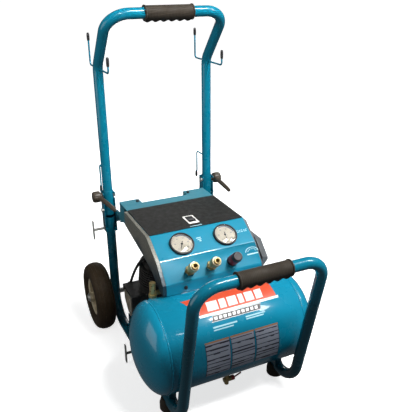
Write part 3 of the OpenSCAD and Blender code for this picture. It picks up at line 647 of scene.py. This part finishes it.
def build_tank_stickers():
    """Orange band, bars and a three-column information panel, with plain bars where lettering would be."""
    band = tank_patch((86, -120, 127), (59, -90, 128))
    piece("tank_band", band, "orange_ink")
    below = tank_patch((59, -95, 133), (55.8, -92, 131), 0.22 * MM)
    blocks = []
    left = -66
    for width in (30, 18, 26, 14, 24, 20):
        blocks.append(tank_patch((74.5, left + 4, left + width + 4), (61.5, left, left + width), 0.35 * MM))
        left += width + 5
    piece("tank_band_blocks", joined(below, *blocks), "white_ink")
    bar = tank_patch((54.9, -60, 76), (47.6, -66, 70), 0.3 * MM)
    piece("tank_black_bar", bar, "black_ink")
    border = [tank_patch((55.2, -61, 77), (54.6, -61.5, 76.5), BORDER_LIFT),
              tank_patch((48.0, -66.5, 70.5), (47.4, -67, 70), BORDER_LIFT)]
    for i in range(10):
        left = -58 + 12.6 * i
        border.append(tank_patch((53.2, left + 1.5, left + 10), (49.5, left, left + 8.5), BORDER_LIFT))
    piece("tank_white_bars", joined(*border), "white_ink")
    lines = [tank_patch((42.2, -68, -2), (40.4, -68, -2)), tank_patch((38.8, -68, -14), (37.4, -68, -14)),
             tank_patch((44.4, 24, 80), (42.8, 24, 80)), tank_patch((41.6, 24, 74), (40.2, 24, 74))]
    piece("tank_pale_lines", joined(*lines), "ice_ink")

    columns = ((-100, -33.5), (-30.5, 35.5), (38.5, 106))
    sheet = [tank_patch((27, left, right), (-19, left, right)) for left, right in columns]
    piece("tank_table", joined(*sheet), "grey_ink")
    heads = [tank_patch((27, left, right), (25.2, left, right), RULE_LIFT) for left, right in columns]
    piece("tank_table_heads", joined(*heads), "brown_ink")
    rng = random.Random(11)
    pale, dark = [], []
    for left, right in columns:
        for side in (left, right - 1.2):
            dark.append(tank_patch((25.2, side, side + 1.2), (-19, side, side + 1.2), RULE_LIFT))
        angle = 23.6
        while angle > -18:
            start = left + 1.2
            while start < right - 8:
                end = min(right - 1.2, start + rng.uniform(9, 24))
                heavy = rng.choice((0.9, 1.3, 1.9))
                dark.append(tank_patch((angle, start, end), (angle - heavy, start, end), RULE_LIFT))
                start = end
            angle -= 2.4
            for _ in range(rng.choice((1, 2, 3))):
                if angle > -17.5:
                    end = right - rng.uniform(4, 26)
                    pale.append(tank_patch((angle, left + 4, end), (angle - 0.6, left + 4, end), RULE_LIFT))
                    angle -= 1.5
    piece("tank_table_lines", joined(*pale), "pale_ink")
    piece("tank_table_rules", joined(*dark), "black_ink")


build_tank()
build_tank_stickers()
for node, width in (("tank_saddles", 0.8), ("pump_base", 0.6)):
    softened(node, width)


# ---- frame, feet and posts ----

for node in ("side_tubes", "front_handle_tube", "upper_handle_tube", "hose_hooks", "axle"):
    repaint(node)
for node, width in (("hinge_brackets", 0.5), ("cord_posts", 0.6), ("cross_channel", 0.6)):
    softened(node, width)


def build_feet():
    """Rubber feet with a flared skirt, rings and the recess for the bolt."""
    top = high("front_feet").z / MM
    r = (high("front_feet").x - SIDE_X) / MM
    profile = mm((8, 0), (r - 2.5, 0), (r - 0.8, 0.7), (r, 2.6))
    for z in (6, 10, 14):
        profile += mm((r, z), (r - 0.9, z + 0.9), (r - 0.9, z + 1.7), (r, z + 2.6))
    profile += mm((r, 21), (r - 1.0, 23.5), (r - 3.6, top - 3), (r - 5, top - 0.8), (r - 7, top - 0.2),
                  (6, top - 0.2), (6, 7), (8, 7), (8, 0))
    foot = lathe(profile, 72, Matrix.Translation((SIDE_X, middle("front_feet").y, 0)))
    stands_for("front_feet", joined(foot, mirrored(foot)))


def build_grip(node, centre, lean):
    """Rubber grip: a long sleeve with rolled ends, shallow rings and finger bumps on its underside."""
    half = (high(node).x - low(node).x) / 2
    r0 = TUBE_R + 4 * MM
    bumps = 6
    steps = 150
    turns = [tau * k / 64 for k in range(64)]
    loops = []
    for i in range(steps + 1):
        t = i / steps
        x = -half + 2 * half * t
        inset = min(x + half, half - x)
        collar = 2 * MM * max(0.0, min(1.0, (4.6 * MM - inset) / (1.2 * MM)))
        rolled = 1.2 * MM * max(0.0, 1 - inset / (1.2 * MM)) ** 2
        ridge = 0.28 * MM * (0.5 + 0.5 * cos(tau * x / (4 * MM))) * (inset > 6 * MM)
        wave = 0.5 - 0.5 * cos(tau * bumps * t)
        loop = []
        for a in turns:
            down = max(0.0, -sin(a)) ** 3
            r = r0 + collar - rolled + ridge * (1 - down)
            r += down * 8.4 * MM * (0.25 + 0.75 * wave) * (inset > 4.6 * MM)
            loop.append(Vector((x, r * cos(a), r * sin(a))))
        loops.append(loop)
    bore = TUBE_R - 0.2 * MM
    ends = [[Vector((x, bore * cos(a), bore * sin(a))) for a in turns] for x in (-half, half)]
    place = Matrix.Translation(centre) @ Matrix.Rotation(lean, 4, "X")
    stands_for(node, moved(ribbon([ends[0], *loops, ends[1]], False), place), smooth=42)


def grip_centre(node):
    """Centre of the tube's top run, from the grip's box: its flanges reach the same way all round."""
    flange = TUBE_R + 6 * MM
    return Vector((0, low(node).y + flange, high(node).z - flange))


build_feet()
FRONT_LEAN = radians(12.4)
HANDLE_LEAN = radians(41)
build_grip("front_handle_grip", grip_centre("front_handle_grip"), FRONT_LEAN)
build_grip("upper_handle_grip", grip_centre("upper_handle_grip"), HANDLE_LEAN)


# ---- console ----

def folded_sheet(node, fold_radius, edge):
    """A CAD sheet whose long folds across the machine get a real bend radius."""
    bm = cad_shape(node)
    span = high(node).x - low(node).x
    folds = []
    for e in bm.edges:
        run = e.verts[1].co - e.verts[0].co
        if len(e.link_faces) == 2 and abs(run.x) > span * 0.95 and e.calc_face_angle(0) < radians(70):
            folds.append(e)
    bmesh.ops.bevel(bm, geom=folds, offset=fold_radius, segments=6, profile=0.5, affect="EDGES")
    rounded(stands_for(node, from_bmesh(bm), smooth=30), edge)


def on_slope(point, normal):
    """Placement with local Z out of the slope and local Y up it."""
    return placed(point, normal, (0, 0, 1))


HAND_LIFT = 3.5 * MM
GAUGE_R = 33.5 * MM
GAUGE_PLACES = {"tank": joint_place("tank_hand_turn")[0] - GAUGE_NORMAL * HAND_LIFT,
                "outlet": joint_place("outlet_hand_turn")[0] - GAUGE_NORMAL * HAND_LIFT}
HAND_ANGLES = {"tank": 152, "outlet": 176}
COUPLER_PLUG = 37 * MM
COUPLER_PLACES = {side: Vector(MOUNTS[side + "_air_outlet"]["pos_m"]) - LOWER_NORMAL * COUPLER_PLUG
                  for side in ("left", "right")}
KNOB_FOOT = 20 * MM
KNOB_PLACE = joint_place("regulator_turn")[0] - LOWER_NORMAL * KNOB_FOOT
DIAL_INK = 0.12 * MM
PANEL_INK = 0.22 * MM


def gauge_bezel():
    r = GAUGE_R / MM
    return lathe(mm((0, -21), (r - 6, -21), (r - 5.2, -20), (r - 5.2, -2), (r - 0.6, 0.05), (r, 0.7), (r, 3),
                    (r - 0.5, 4.2), (r - 0.5, 5.4), (r - 0.1, 6), (r - 0.6, 7.5), (r - 1.6, 8), (r - 3.2, 8),
                    (r - 3.9, 7.4), (r - 4, 6.6), (r - 4, 2), (0, 2)), 96)


def flat_ring(r0, r1, start, end, z, thick=DIAL_INK, steps=0):
    """Thin printed arc on a dial, angles in degrees, clockwise from up-slope."""
    steps = steps or max(2, round(abs(end - start) / 4))
    loops = []
    for i in range(steps + 1):
        a = radians(start + (end - start) * i / steps)
        loops.append([Vector((sin(a) * r, cos(a) * r, rise))
                      for r, rise in ((r0, z), (r1, z), (r1, z + thick), (r0, z + thick))])
    return ribbon(loops)


DIGITS = {0: "abcdef", 1: "bc", 2: "abged", 3: "abgcd", 4: "fgbc", 5: "afgcd", 6: "afgedc", 7: "abc",
          8: "abcdefg", 9: "abcfgd"}


def digit(number, size, centre, z):
    """One dial numeral made of thin strokes."""
    w, h, pen = size * 0.5, size, size * 0.13
    x0, y0 = centre[0] - w / 2, centre[1] - h / 2
    strokes = {"a": (0, h - pen, w, pen), "g": (0, (h - pen) / 2, w, pen), "d": (0, 0, w, pen),
               "f": (0, h / 2, pen, h / 2), "b": (w - pen, h / 2, pen, h / 2),
               "e": (0, 0, pen, h / 2), "c": (w - pen, 0, pen, h / 2)}
    return joined(*[block((x0 + strokes[k][0], y0 + strokes[k][1], z),
                          (strokes[k][2], strokes[k][3], DIAL_INK), 0) for k in DIGITS[number]])


def dial_number(value, size, centre, z):
    text = str(value)
    step = size * 0.68
    start = centre[0] - step * (len(text) - 1) / 2
    return joined(*[digit(int(c), size, (start + i * step, centre[1]), z) for i, c in enumerate(text)])


def build_gauges():
    bezels, dials, lenses, ticks, arcs = [], [], [], [], []
    face = 2.8 * MM
    dial_r = GAUGE_R - 4.2 * MM
    for name, point in GAUGE_PLACES.items():
        place = on_slope(point, GAUGE_NORMAL)
        bezels.append(moved(gauge_bezel(), place))
        r = dial_r / MM
        dials.append(lathe(mm((0, 2.05), (r, 2.05), (r, 2.7), (r - 0.15, 2.8), (2.2, 2.8), (1.7, 2.5), (0, 2.5)),
                           96, place))
        lenses.append(lathe(mm((0, 6), (r + 0.1, 6), (r + 0.1, 7.1), (r - 0.5, 7.4), (0, 7.5)), 96, place))
        marks = []
        for i in range(51):
            angle = -135 + 270 * i / 50
            long = i % 10 == 0
            marks.append(flat_ring(dial_r - (6.2 if long else 5.0 if i % 5 == 0 else 4.2) * MM,
                                   dial_r - 2.8 * MM, angle - (0.5 if long else 0.22),
                                   angle + (0.5 if long else 0.22), face, steps=2))
        for i in range(6):
            a = radians(-135 + 54 * i)
            r = dial_r - 11.2 * MM
            marks.append(dial_number(i * (40 if name == "tank" else 30), 3.2 * MM,
                                     (r * sin(a), r * cos(a)), face))
        ticks.append(moved(joined(*marks), place))
        arcs.append(moved(flat_ring(dial_r - 4.8 * MM, dial_r - 1.2 * MM, -20, 78, face + 0.02 * MM), place))
    stands_for("gauge_cases", joined(*bezels), smooth=35)
    stands_for("gauge_dials", joined(*dials))
    stands_for("gauge_lenses", joined(*lenses))
    piece("gauge_marks", joined(*ticks), "grey_ink")
    piece("gauge_arcs", joined(*arcs), "grey_ink")
    for name, point in GAUGE_PLACES.items():
        turn = Matrix.Rotation(radians(HAND_ANGLES[name]), 4, "Z")
        hand = slab(mm((-0.8, -8), (0.8, -8), (0.95, 4), (0.2, 22), (-0.2, 22), (-0.95, 4)),
                    0.6 * MM, 0.15 * MM, 1,
                    shift(0, 0, 3.3))
        hub = lathe(mm((0, 0.3), (1.1, 0.3), (1.1, 3.1), (3, 3.1), (3, 3.9), (2.5, 4.3), (0, 4.5)), 32)
        stands_for(name + "_needle", moved(joined(hand, hub), on_slope(point, GAUGE_NORMAL) @ turn))


def build_couplers():
    bodies = []
    for side, point in COUPLER_PLACES.items():
        place = on_slope(point, LOWER_NORMAL)
        nut = moved(hex_head(24 * MM, 7.6 * MM, washer=False), shift(0, 0, 0.2))
        barrel = lathe(mm((3.4, -14), (9.4, -14), (9.4, 8), (9.35, 45), (9.35, 50.6), (8.6, 51.6), (7.6, 52),
                          (6.2, 52), (5.3, 51), (5.3, 23), (3.6, 22), (3.4, -14)), 72)
        bodies += [moved(nut, place), moved(barrel, place)]

        def knurl(r, z, a):
            teeth = 44
            return r + (0.28 * MM * (0.5 + 0.5 * cos(teeth * a)) if r > 12.9 * MM else 0)

        bands = [[(12.92 - 0.25 * (k in (0, 4)), foot + 1.2 * k) for k in range(5)] for foot in (23.1, 39.1)]
        profile = mm((9.55, 20), (12, 20), (12.4, 20.6), (12.4, 22.8), *bands[0], (12.3, 28.4), (12.1, 33),
                     (12.3, 38.6), *bands[1], (12.3, 44.6), (11.9, 45.7), (11.2, 46), (9.9, 46), (9.55, 45.4),
                     (9.55, 20))
        sleeve = lathe(profile, 176, place, knurl)
        stands_for(side + "_coupler_sleeve", sleeve, smooth=30)
        # Thin shell over the sleeve's front rim in a paler copy of the brass: a painted highlight where light
        # catches the rim.
        highlight_lip = lathe(mm((9.7, 44.4), (12.0, 44.4), (12.5, 44.7), (12.2, 45.8), (11.3, 46.4), (10.0, 46.4),
                       (9.65, 46.0), (9.7, 44.4)), 72, place)
        piece(side + "_coupler_highlight_lip", highlight_lip, "highlight_brass", side + "_sleeve")
    stands_for("coupler_bodies", joined(*bodies), smooth=30)


def build_knob():
    """Regulator: black locking ring, dark red skirt and a ribbed dark cap."""
    place = on_slope(KNOB_PLACE, LOWER_NORMAL)
    collar = lathe(mm((5, -14), (11.4, -14), (11.4, 0), (14.4, 0.1), (14.5, 1), (14.5, 5), (13.8, 5.9),
                      (9.95, 6), (9.95, 21.6), (5, 21.6), (5, -14)), 72, place)
    stands_for("regulator_body", collar, "black_plastic")

    def ribs(r, z, a):
        return r + (0.62 * MM * max(0.0, cos(20 * a)) ** 2 if 13.2 * MM < r < 13.6 * MM else 0)

    profile = mm((10.1, 8), (13.0, 8), (13.4, 8.6), (13.4, 39.5), (13.1, 42), (12.4, 43.8), (11.2, 44.8),
                 (9.8, 45), (9.4, 44.5), (0, 44.3))
    inside = mm((10.1, 8), (10.1, 25), (0, 25))
    knob = joined(lathe(profile, 200, None, ribs), lathe(inside, 200))
    stands_for("regulator_knob", moved(knob, place), smooth=30)
    band = lathe(mm((13.3, 8.6), (14.0, 8.7), (14.05, 9.3), (14.05, 29.5), (13.9, 30.2), (13.3, 30.3),
                    (13.3, 8.6)), 96, place)
    piece("regulator_band", band, "knob_collar", "regulator")


def build_switch():
    bezel_low, bezel_high = low("switch_bezel"), high("switch_bezel")
    centre = (bezel_low + bezel_high) / 2
    w, d = bezel_high.x - bezel_low.x, bezel_high.y - bezel_low.y
    t = bezel_high.z - bezel_low.z
    wall = 4.4 * MM
    ring = [(centre.x + x, centre.y + y) for x, y in rounded_rect(w, d, 2.2 * MM, 4)]
    hole = rounded_rect(w - 2 * wall, d - 2 * wall - 9 * MM, 1.4 * MM, 4)
    inner = [(centre.x + x, centre.y + y) for x, y in hole]
    verts, faces = [], []
    levels = [(ring, 0.0, 0.0), (ring, t * 0.6, 0.0), (ring, t, 0.6 * MM), (inner, t, -0.4 * MM),
              (inner, t * 0.6, 0.0), (inner, 0.0, 0.0)]
    loops = []
    for outline, z, inset in levels:
        loop = []
        for x, y in outline:
            dx, dy = x - centre.x, y - centre.y
            k = 1 - inset / max(abs(dx), abs(dy))
            loop.append(len(verts))
            verts.append(Vector((centre.x + dx * k, centre.y + dy * k, bezel_low.z + z)))
        loops.append(loop)
    for a, b in zip(loops, loops[1:] + loops[:1]):
        faces += stitch(a, b)
    stands_for("switch_bezel", (verts, faces), smooth=30)
    softened("switch_rocker", 0.9, 3)


def slope_bar(point, normal, x, y, width, height, lean=0.0):
    """Printed bar on a slope, from its centre (x, y) in the slope's plane. Sizes are in millimetres."""
    outline = mm((-width / 2 - lean / 2, -height / 2), (width / 2 - lean / 2, -height / 2),
                 (width / 2 + lean / 2, height / 2), (-width / 2 + lean / 2, height / 2))
    place = on_slope(point, normal) @ shift(x, y, -0.05)
    return slab(outline, PANEL_INK, 0, 1, place)


def build_panel_marks():
    """Plain pale marks beside the gauges and the regulator's printed arc."""
    marks = []
    gauge_mid = (GAUGE_PLACES["tank"] + GAUGE_PLACES["outlet"]) / 2
    for i, (width, lean) in enumerate(((13, 2.0), (11, 2.0), (6, 0))):
        marks.append(slope_bar(gauge_mid, GAUGE_NORMAL, -12.0 + i * 1.2, 9.5 - 5.2 * i, width, 2.6, lean))
    for i in range(5):
        marks.append(slope_bar(gauge_mid, GAUGE_NORMAL, 103 + 7 * i, 5.5 - 1.2 * (i % 2), 4.2, 2.2, 3))
    for i in range(3):
        marks.append(slope_bar(gauge_mid, GAUGE_NORMAL, 106 + 11 * i, 0.5, 8, 1.6, 2))
    place = on_slope(KNOB_PLACE, LOWER_NORMAL) @ shift(66, 12, -0.05)
    dome = flat_ring(14.6 * MM, 16.4 * MM, -84, 84, 0, PANEL_INK, 40)
    squash = Matrix.Diagonal((1.25, 0.85, 1, 1))
    marks.append(moved(dome, place @ squash))
    for i in range(7):
        a = -72 + 24 * i
        marks.append(moved(flat_ring(8.4 * MM, 12.2 * MM, a - 4, a + 4, 0, PANEL_INK, 2), place @ squash))
    marks.append(slope_bar(KNOB_PLACE, LOWER_NORMAL, 66, 6.5, 34, 3.4))
    piece("panel_marks", joined(*marks), "ice_ink")
    deck = shift(-3, -11.5, high("console_mat").z / MM - 0.05)
    label = slab(rounded_rect(36 * MM, 3.2 * MM, 0.6 * MM, 2), 0.25 * MM, 0, 1, deck)
    piece("mat_mark", label, "ice_ink")


folded_sheet("console_panel", 3.2 * MM, 0.4 * MM)
softened("console_mat", 0.8, 3)
softened("left_side_cover", 0.9, 3)
softened("right_side_cover", 2.4, 4, 20)
build_gauges()
build_couplers()
build_knob()
build_switch()
build_panel_marks()
for node, width in (("air_manifold", 0.8), ("pressure_switch", 1.2)):
    softened(node, width)


# ---- pump, motor and tank fittings ----

for node in ("discharge_tube", "power_cable", "motor_stator", "motor_rotor", "safety_ring", "connecting_rod",
             "piston", "cooling_fan", "clamp_bolts"):
    repaint(node)
for node, width, angle in (("pump_crankcase", 1.0, 35), ("pump_cylinder", 0.7, 40), ("pump_head", 1.0, 35),
                           ("motor_shell", 0.6, 40), ("check_valve", 0.4, 35), ("safety_valve", 0.4, 35),
                           ("drain_valve", 0.4, 35), ("drain_lever", 0.5, 35)):
    softened(node, width, 2, angle)


def build_crankcase_cover():
    """Cast bearing cover on the crankcase's left end: a flat plate, a raised middle and its screws."""
    node = "crankcase_cover"
    base, size = low(node), (high(node) - low(node)) / MM
    place = Matrix(((0, 0, -1, high(node).x), (-1, 0, 0, base.y), (0, 1, 0, base.z), (0, 0, 0, 1)))

    def outline(inset):
        deep, tall = size.y - inset, size.z - inset
        return mm((-inset, tall), (-inset, 10), (-9, inset), (-23, inset), (-deep, 37), (-deep, tall))

    plate = slab(outline(0), 4 * MM, 0.8 * MM, 3, place)
    raised = slab(outline(8), 1.5 * MM, 0.6 * MM, 3, place @ shift(0, 0, 3.98))
    hub = lathe(mm((0, 0), (11, 0), (11, 1.2), (10, 1.9), (0, 1.9)), 48,
                place @ shift(-31, 40, 4.05))
    stands_for(node, joined(plate, raised, hub), smooth=30)
    screws = []
    for y, z in ((5, size.z - 5), (31, size.z - 4), (size.y - 5, size.z - 5), (4.5, 22), (17, 4.5)):
        screws.append(moved(pan_head(2.6 * MM, 1.7 * MM), place @ shift(-y, z, 3.9)))
    piece("cover_screws", joined(*screws), "plated_steel")


def build_filter():
    """Round air filter housing with rings and a flat front."""
    node = "air_filter"
    axis_point = Vector((low(node).x, middle(node).y, middle(node).z))
    length = high(node).x - low(node).x
    place = placed(axis_point, (1, 0, 0))
    profile = mm((0, 0.1), (6.3, 0.1), (6.3, 16.6), (25.5, 17.1), (27, 18.6))
    for z in (21, 29, 37, 45):
        profile += mm((27, z), (28.9, z + 0.6), (28.9, z + 2.4), (27, z + 3))
    profile += [(27 * MM, 50 * MM), (26 * MM, length - 0.6 * MM), (24 * MM, length), (0, length)]
    stands_for(node, lathe(profile, 72, place), smooth=35)


def build_fasteners():
    """Pivot bolts, wheel caps, foot bolts and screws, each with its real head."""
    steel, dark = [], []
    cap_x = high("fasteners").x - 6 * MM
    pivot, _ = joint_place("handle_fold")
    outer = high("hinge_brackets").x
    inner = 2 * SIDE_X - outer
    for side in (1, -1):
        axis = (side, 0, 0)
        shank = placed((side * inner, pivot.y, pivot.z), axis)
        steel.append(lathe([(0, 0), (4 * MM, 0), (4 * MM, outer - inner), (0, outer - inner)], 32, shank))
        steel.append(moved(hex_head(11 * MM, 5 * MM), placed((side * outer, pivot.y, pivot.z), axis)))
        steel.append(moved(hex_head(10 * MM, 2 * MM), placed((side * inner, pivot.y, pivot.z), (-side, 0, 0))))
        wheel = middle("right_tyre")
        cap = lathe(mm((8.02, 0), (13.6, 0), (14, 0.4), (14, 0.9), (11.4, 1.2), (11, 1.8), (10.6, 4.6),
                       (9.6, 5.8), (8.02, 6)), 48)
        steel.append(moved(cap, placed((side * cap_x, wheel.y, wheel.z), axis)))
        foot_y = middle("front_feet").y
        steel.append(lathe(mm((0, 3), (6.2, 3), (6.5, 3.4), (6.5, 7), (3.9, 7), (3.9, 17.6), (0, 17.6)), 32,
                           Matrix.Translation((side * SIDE_X, foot_y, 0))))
    panel_z, channel_y = 320 * MM, 229 * MM
    for x in (-86, 86):
        spot = placed((x * MM, low("console_panel").y, panel_z), (0, -1, 0))
        dark.append(moved(hex_head(8 * MM, 3.2 * MM), spot))
    for x in (-88, 78):
        dark.append(moved(hex_head(8 * MM, 4 * MM), placed((x * MM, channel_y, high("cross_channel").z))))
    stands_for("fasteners", joined(*steel), smooth=30)
    piece("black_screws", joined(*dark), "black_plastic")


def build_bungs():
    """Weld collars round the tank's threaded bungs."""
    rings = []
    for node, radius in (("check_valve", 11), ("safety_valve", 9)):
        spot = middle(node)
        x = low(node).x + 12 * MM if node == "check_valve" else spot.x
        y = spot.y
        out = y - TANK_Y
        z = TANK_Z + sqrt(TANK_R ** 2 - out ** 2)
        normal = Vector((0, out, z - TANK_Z)).normalized()
        rings.append(moved(weld_bead(radius * MM, 1.6 * MM, 2.6 * MM, radius), placed((x, y, z), normal)))
    piece("bung_welds", joined(*rings), "tank_paint")


build_crankcase_cover()
build_filter()
build_fasteners()
build_bungs()


# ---- wheels ----

def build_wheels():
    """Solid-looking tyres with ribbed treads on pressed rims."""
    centre = middle("right_tyre")
    half = (high("right_tyre").x - low("right_tyre").x) / 2
    r_out = (high("right_tyre").z - low("right_tyre").z) / 2
    rim_r = (high("right_rim").z - low("right_rim").z) / 2
    arch_r = r_out - 26 * MM
    grooves = (-17, -6, 6, 17)

    def tread(r, z, a):
        if r < arch_r + 12 * MM:
            return r
        cut = 0.0
        for g in grooves:
            cut = max(cut, 1 - (abs(z - g * MM) / (1.7 * MM)) ** 4)
        sipe = max(0.0, cos(60 * a + (z * 160))) ** 10
        edge = min(1.0, max(0.0, (abs(z) - 8 * MM) / (3 * MM)))
        return r - 1.5 * MM * max(0.0, cut) - 0.9 * MM * sipe * edge

    profile = [(rim_r - 5 * MM, -15.9 * MM), (rim_r - 0.2 * MM, -17.9 * MM), (rim_r + 3 * MM, -20.6 * MM),
               (rim_r + 5 * MM, -23 * MM), (rim_r + 8 * MM, -26.2 * MM), (arch_r - 8 * MM, -half + 0.3 * MM)]
    steps = 90
    for i in range(steps + 1):
        a = -pi / 2 + pi * i / steps
        profile.append((arch_r + 26 * MM * max(0.0, cos(a)) ** 0.75, half * sin(a)))
    profile += [(r, -z) for r, z in reversed(profile[:6])] + [(rim_r - 5 * MM, -15.9 * MM)]
    tyre = lathe(profile, 240, placed(centre, (1, 0, 0)), tread)
    for side, shape in (("right", tyre), ("left", mirrored(tyre))):
        stands_for(side + "_tyre", shape, smooth=40)
        softened(side + "_rim", 0.7, 2, 30)


build_wheels()


# ---- folding handle ----

def build_tips():
    """Barrel-shaped plastic tips pushed over the ends of the hook wires."""
    box_low, box_high = low("hook_tips"), high("hook_tips")
    r = 4.2 * MM
    tips = []
    for y, z, up, length in ((box_high.y - r, high("hose_hooks").z, 1, 22),
                             (box_low.y + r, box_high.z - 70 * MM, 1, 24),
                             (box_high.y - r, box_low.z + 22 * MM, -1, 22)):
        span = length * MM
        base = Vector((SIDE_X, y, z))
        profile = [(0, 0), (r * 0.78, 0), (r * 0.9, 0.8 * MM)]
        for i in range(1, 8):
            t = i / 8
            profile.append((r * (0.9 + 0.1 * sin(pi * t)), 0.8 * MM + (span - 3.4 * MM) * t))
        profile += [(r * 0.86, span - 2.2 * MM), (r * 0.62, span - 0.7 * MM), (0, span)]
        tips.append(lathe(profile, 32, placed(base, (0, 0, up))))
    tips = joined(*tips)
    stands_for("hook_tips", joined(tips, mirrored(tips)))


def build_lever(side, inward):
    """Moulded clamp lever: a fluted barrel hub and a tapered arm with a round end."""
    pivot, _ = joint_place(side + "_clamp_turn")
    face = high("hinge_brackets").x + 0.3 * MM

    def flutes(r, z, a):
        return r - (0.7 * MM * max(0.0, cos(9 * a)) ** 3 if r > 15.2 * MM else 0)

    hub = lathe(mm((4.1, 0), (8.6, 0), (9, 0.4), (9, 4.2), (12, 5.2), (15.3, 6.4), (16.4, 8), (16.9, 11),
                   (17, 17), (16.7, 23), (15.9, 26.5), (14.2, 28.4), (11.5, 29), (6.5, 28.6), (5.6, 28),
                   (4.1, 27.6), (4.1, 0)), 108, None, flutes)
    hub = moved(hub, placed((face, pivot.y, pivot.z), (1, 0, 0)))
    drop, sway = radians(10), radians(inward)
    way = Vector((sin(sway) * cos(drop), -cos(sway) * cos(drop), -sin(drop)))
    root = Vector((face + 12 * MM, pivot.y, pivot.z))
    reach = 96 * MM
    points = []
    for i in range(29):
        t = i / 28
        p = root + way * (reach * t)
        p.z += 1.6 * MM * sin(pi * t)
        points.append(p)

    def girth(t):
        body = (8.0 - 2.2 * t) * MM - 0.7 * MM * exp(-((t - 0.3) / 0.1) ** 2)
        end = max(0.0, (t - 0.93) / 0.07)
        return body * sqrt(max(0.02, 1 - end * end))

    arm = swept(points, girth, 28)
    shape = joined(hub, arm)
    stands_for(side + "_clamp_lever", shape if side == "right" else mirrored(shape), smooth=36)


build_tips()
build_lever("right", 4)
build_lever("left", -16)


# ---- stage: floor, light and camera ----

def build_floor():
    """Pale floor that curves up into a wall far behind the object."""
    s = Shader("floor", 0.6, Emission_Color=(1, 1, 1, 1))
    away = s.node("ShaderNodeVectorMath", operation="LENGTH")
    s.link(s.where, away.inputs[0])
    s.link(s.ramp(away.outputs["Value"], 0.5, 2.2, 0.72, 1.0), s.out.inputs["Emission Strength"])
    s.tint(s.ramp(s.noise(2.2, 3), 0.4, 0.7, 0, 0.35), (0.82, 0.83, 0.84))
    s.roughen((9, 3), 0.5, 0.7)
    verts, faces = lathe([(0, 0), (3, 0), (30, 0), (36, 1.5), (39, 5), (40, 10), (41, 45)], 96)
    mesh = bpy.data.meshes.new("floor")
    mesh.from_pydata([tuple(v) for v in verts], [], faces)
    mesh.materials.append(s.material)
    floor = added("floor", mesh)
    floor.visible_diffuse = False
    floor.visible_glossy = False


def area_light(name, spot, aim, size, power, colour=(1, 1, 1), spread=180):
    data = bpy.data.lights.new(name, "AREA")
    data.shape = "RECTANGLE"
    data.size, data.size_y = size
    data.energy = power
    data.color = colour
    data.spread = radians(spread)
    added(name, data).matrix_world = placed(spot, Vector(spot) - Vector(aim))


def build_light():
    world = bpy.data.worlds.new("studio")
    world.use_nodes = True
    back = world.node_tree.nodes["Background"]
    back.inputs["Color"].default_value = (0.92, 0.96, 1.0, 1)
    back.inputs["Strength"].default_value = 0.09
    bpy.context.scene.world = world
    aim = (0, -0.05, 0.4)
    area_light("key", (0.65, -1.1, 2.65), aim, (1.1, 0.22), 80, (1.0, 0.99, 0.97))
    area_light("side", (1.5, -0.9, 1.9), (0, 0.3, 0.85), (0.35, 0.9), 27, (1.0, 0.99, 0.96))
    area_light("left", (-2.0, 0.15, 0.75), (0, -0.05, 0.35), (1.3, 1.3), 10, (1.0, 0.97, 0.92))
    area_light("back", (0.7, 2.1, 0.4), (0, 0.2, 0.4), (1.0, 0.5), 7, (1.0, 0.99, 0.97))
    area_light("upper", (-0.8, -1.5, 2.0), (0, 0.2, 0.85), (0.3, 0.3), 1.5, (1.0, 0.99, 0.97), 38)


def build_camera():
    """Camera at the height, distance and lens of the view that the object is known by."""
    spot, lens, sensor = (-0.5602, -1.2527, 1.0562), 48.05, 36
    turn, pitch, roll = radians(-25.34), radians(23.55), radians(-0.27)
    right = Vector((cos(turn), sin(turn), 0))
    back = Vector((sin(turn) * cos(pitch), -cos(turn) * cos(pitch), sin(pitch)))
    up = back.cross(right)
    side = right * cos(roll) + up * sin(roll)
    top = up * cos(roll) - right * sin(roll)
    data = bpy.data.cameras.new("camera")
    data.sensor_fit = "AUTO"
    data.sensor_width = sensor
    data.lens = lens
    data.shift_x, data.shift_y = -0.0076, 0.0203
    camera = added("camera", data)
    axes = Matrix((side, top, back)).transposed().to_4x4()
    camera.matrix_world = Matrix.Translation(spot) @ axes
    bpy.context.scene.camera = camera


build_floor()
build_light()
build_camera()
bpy.context.scene.view_settings.view_transform = "Standard"

bpy.context.view_layer.update()
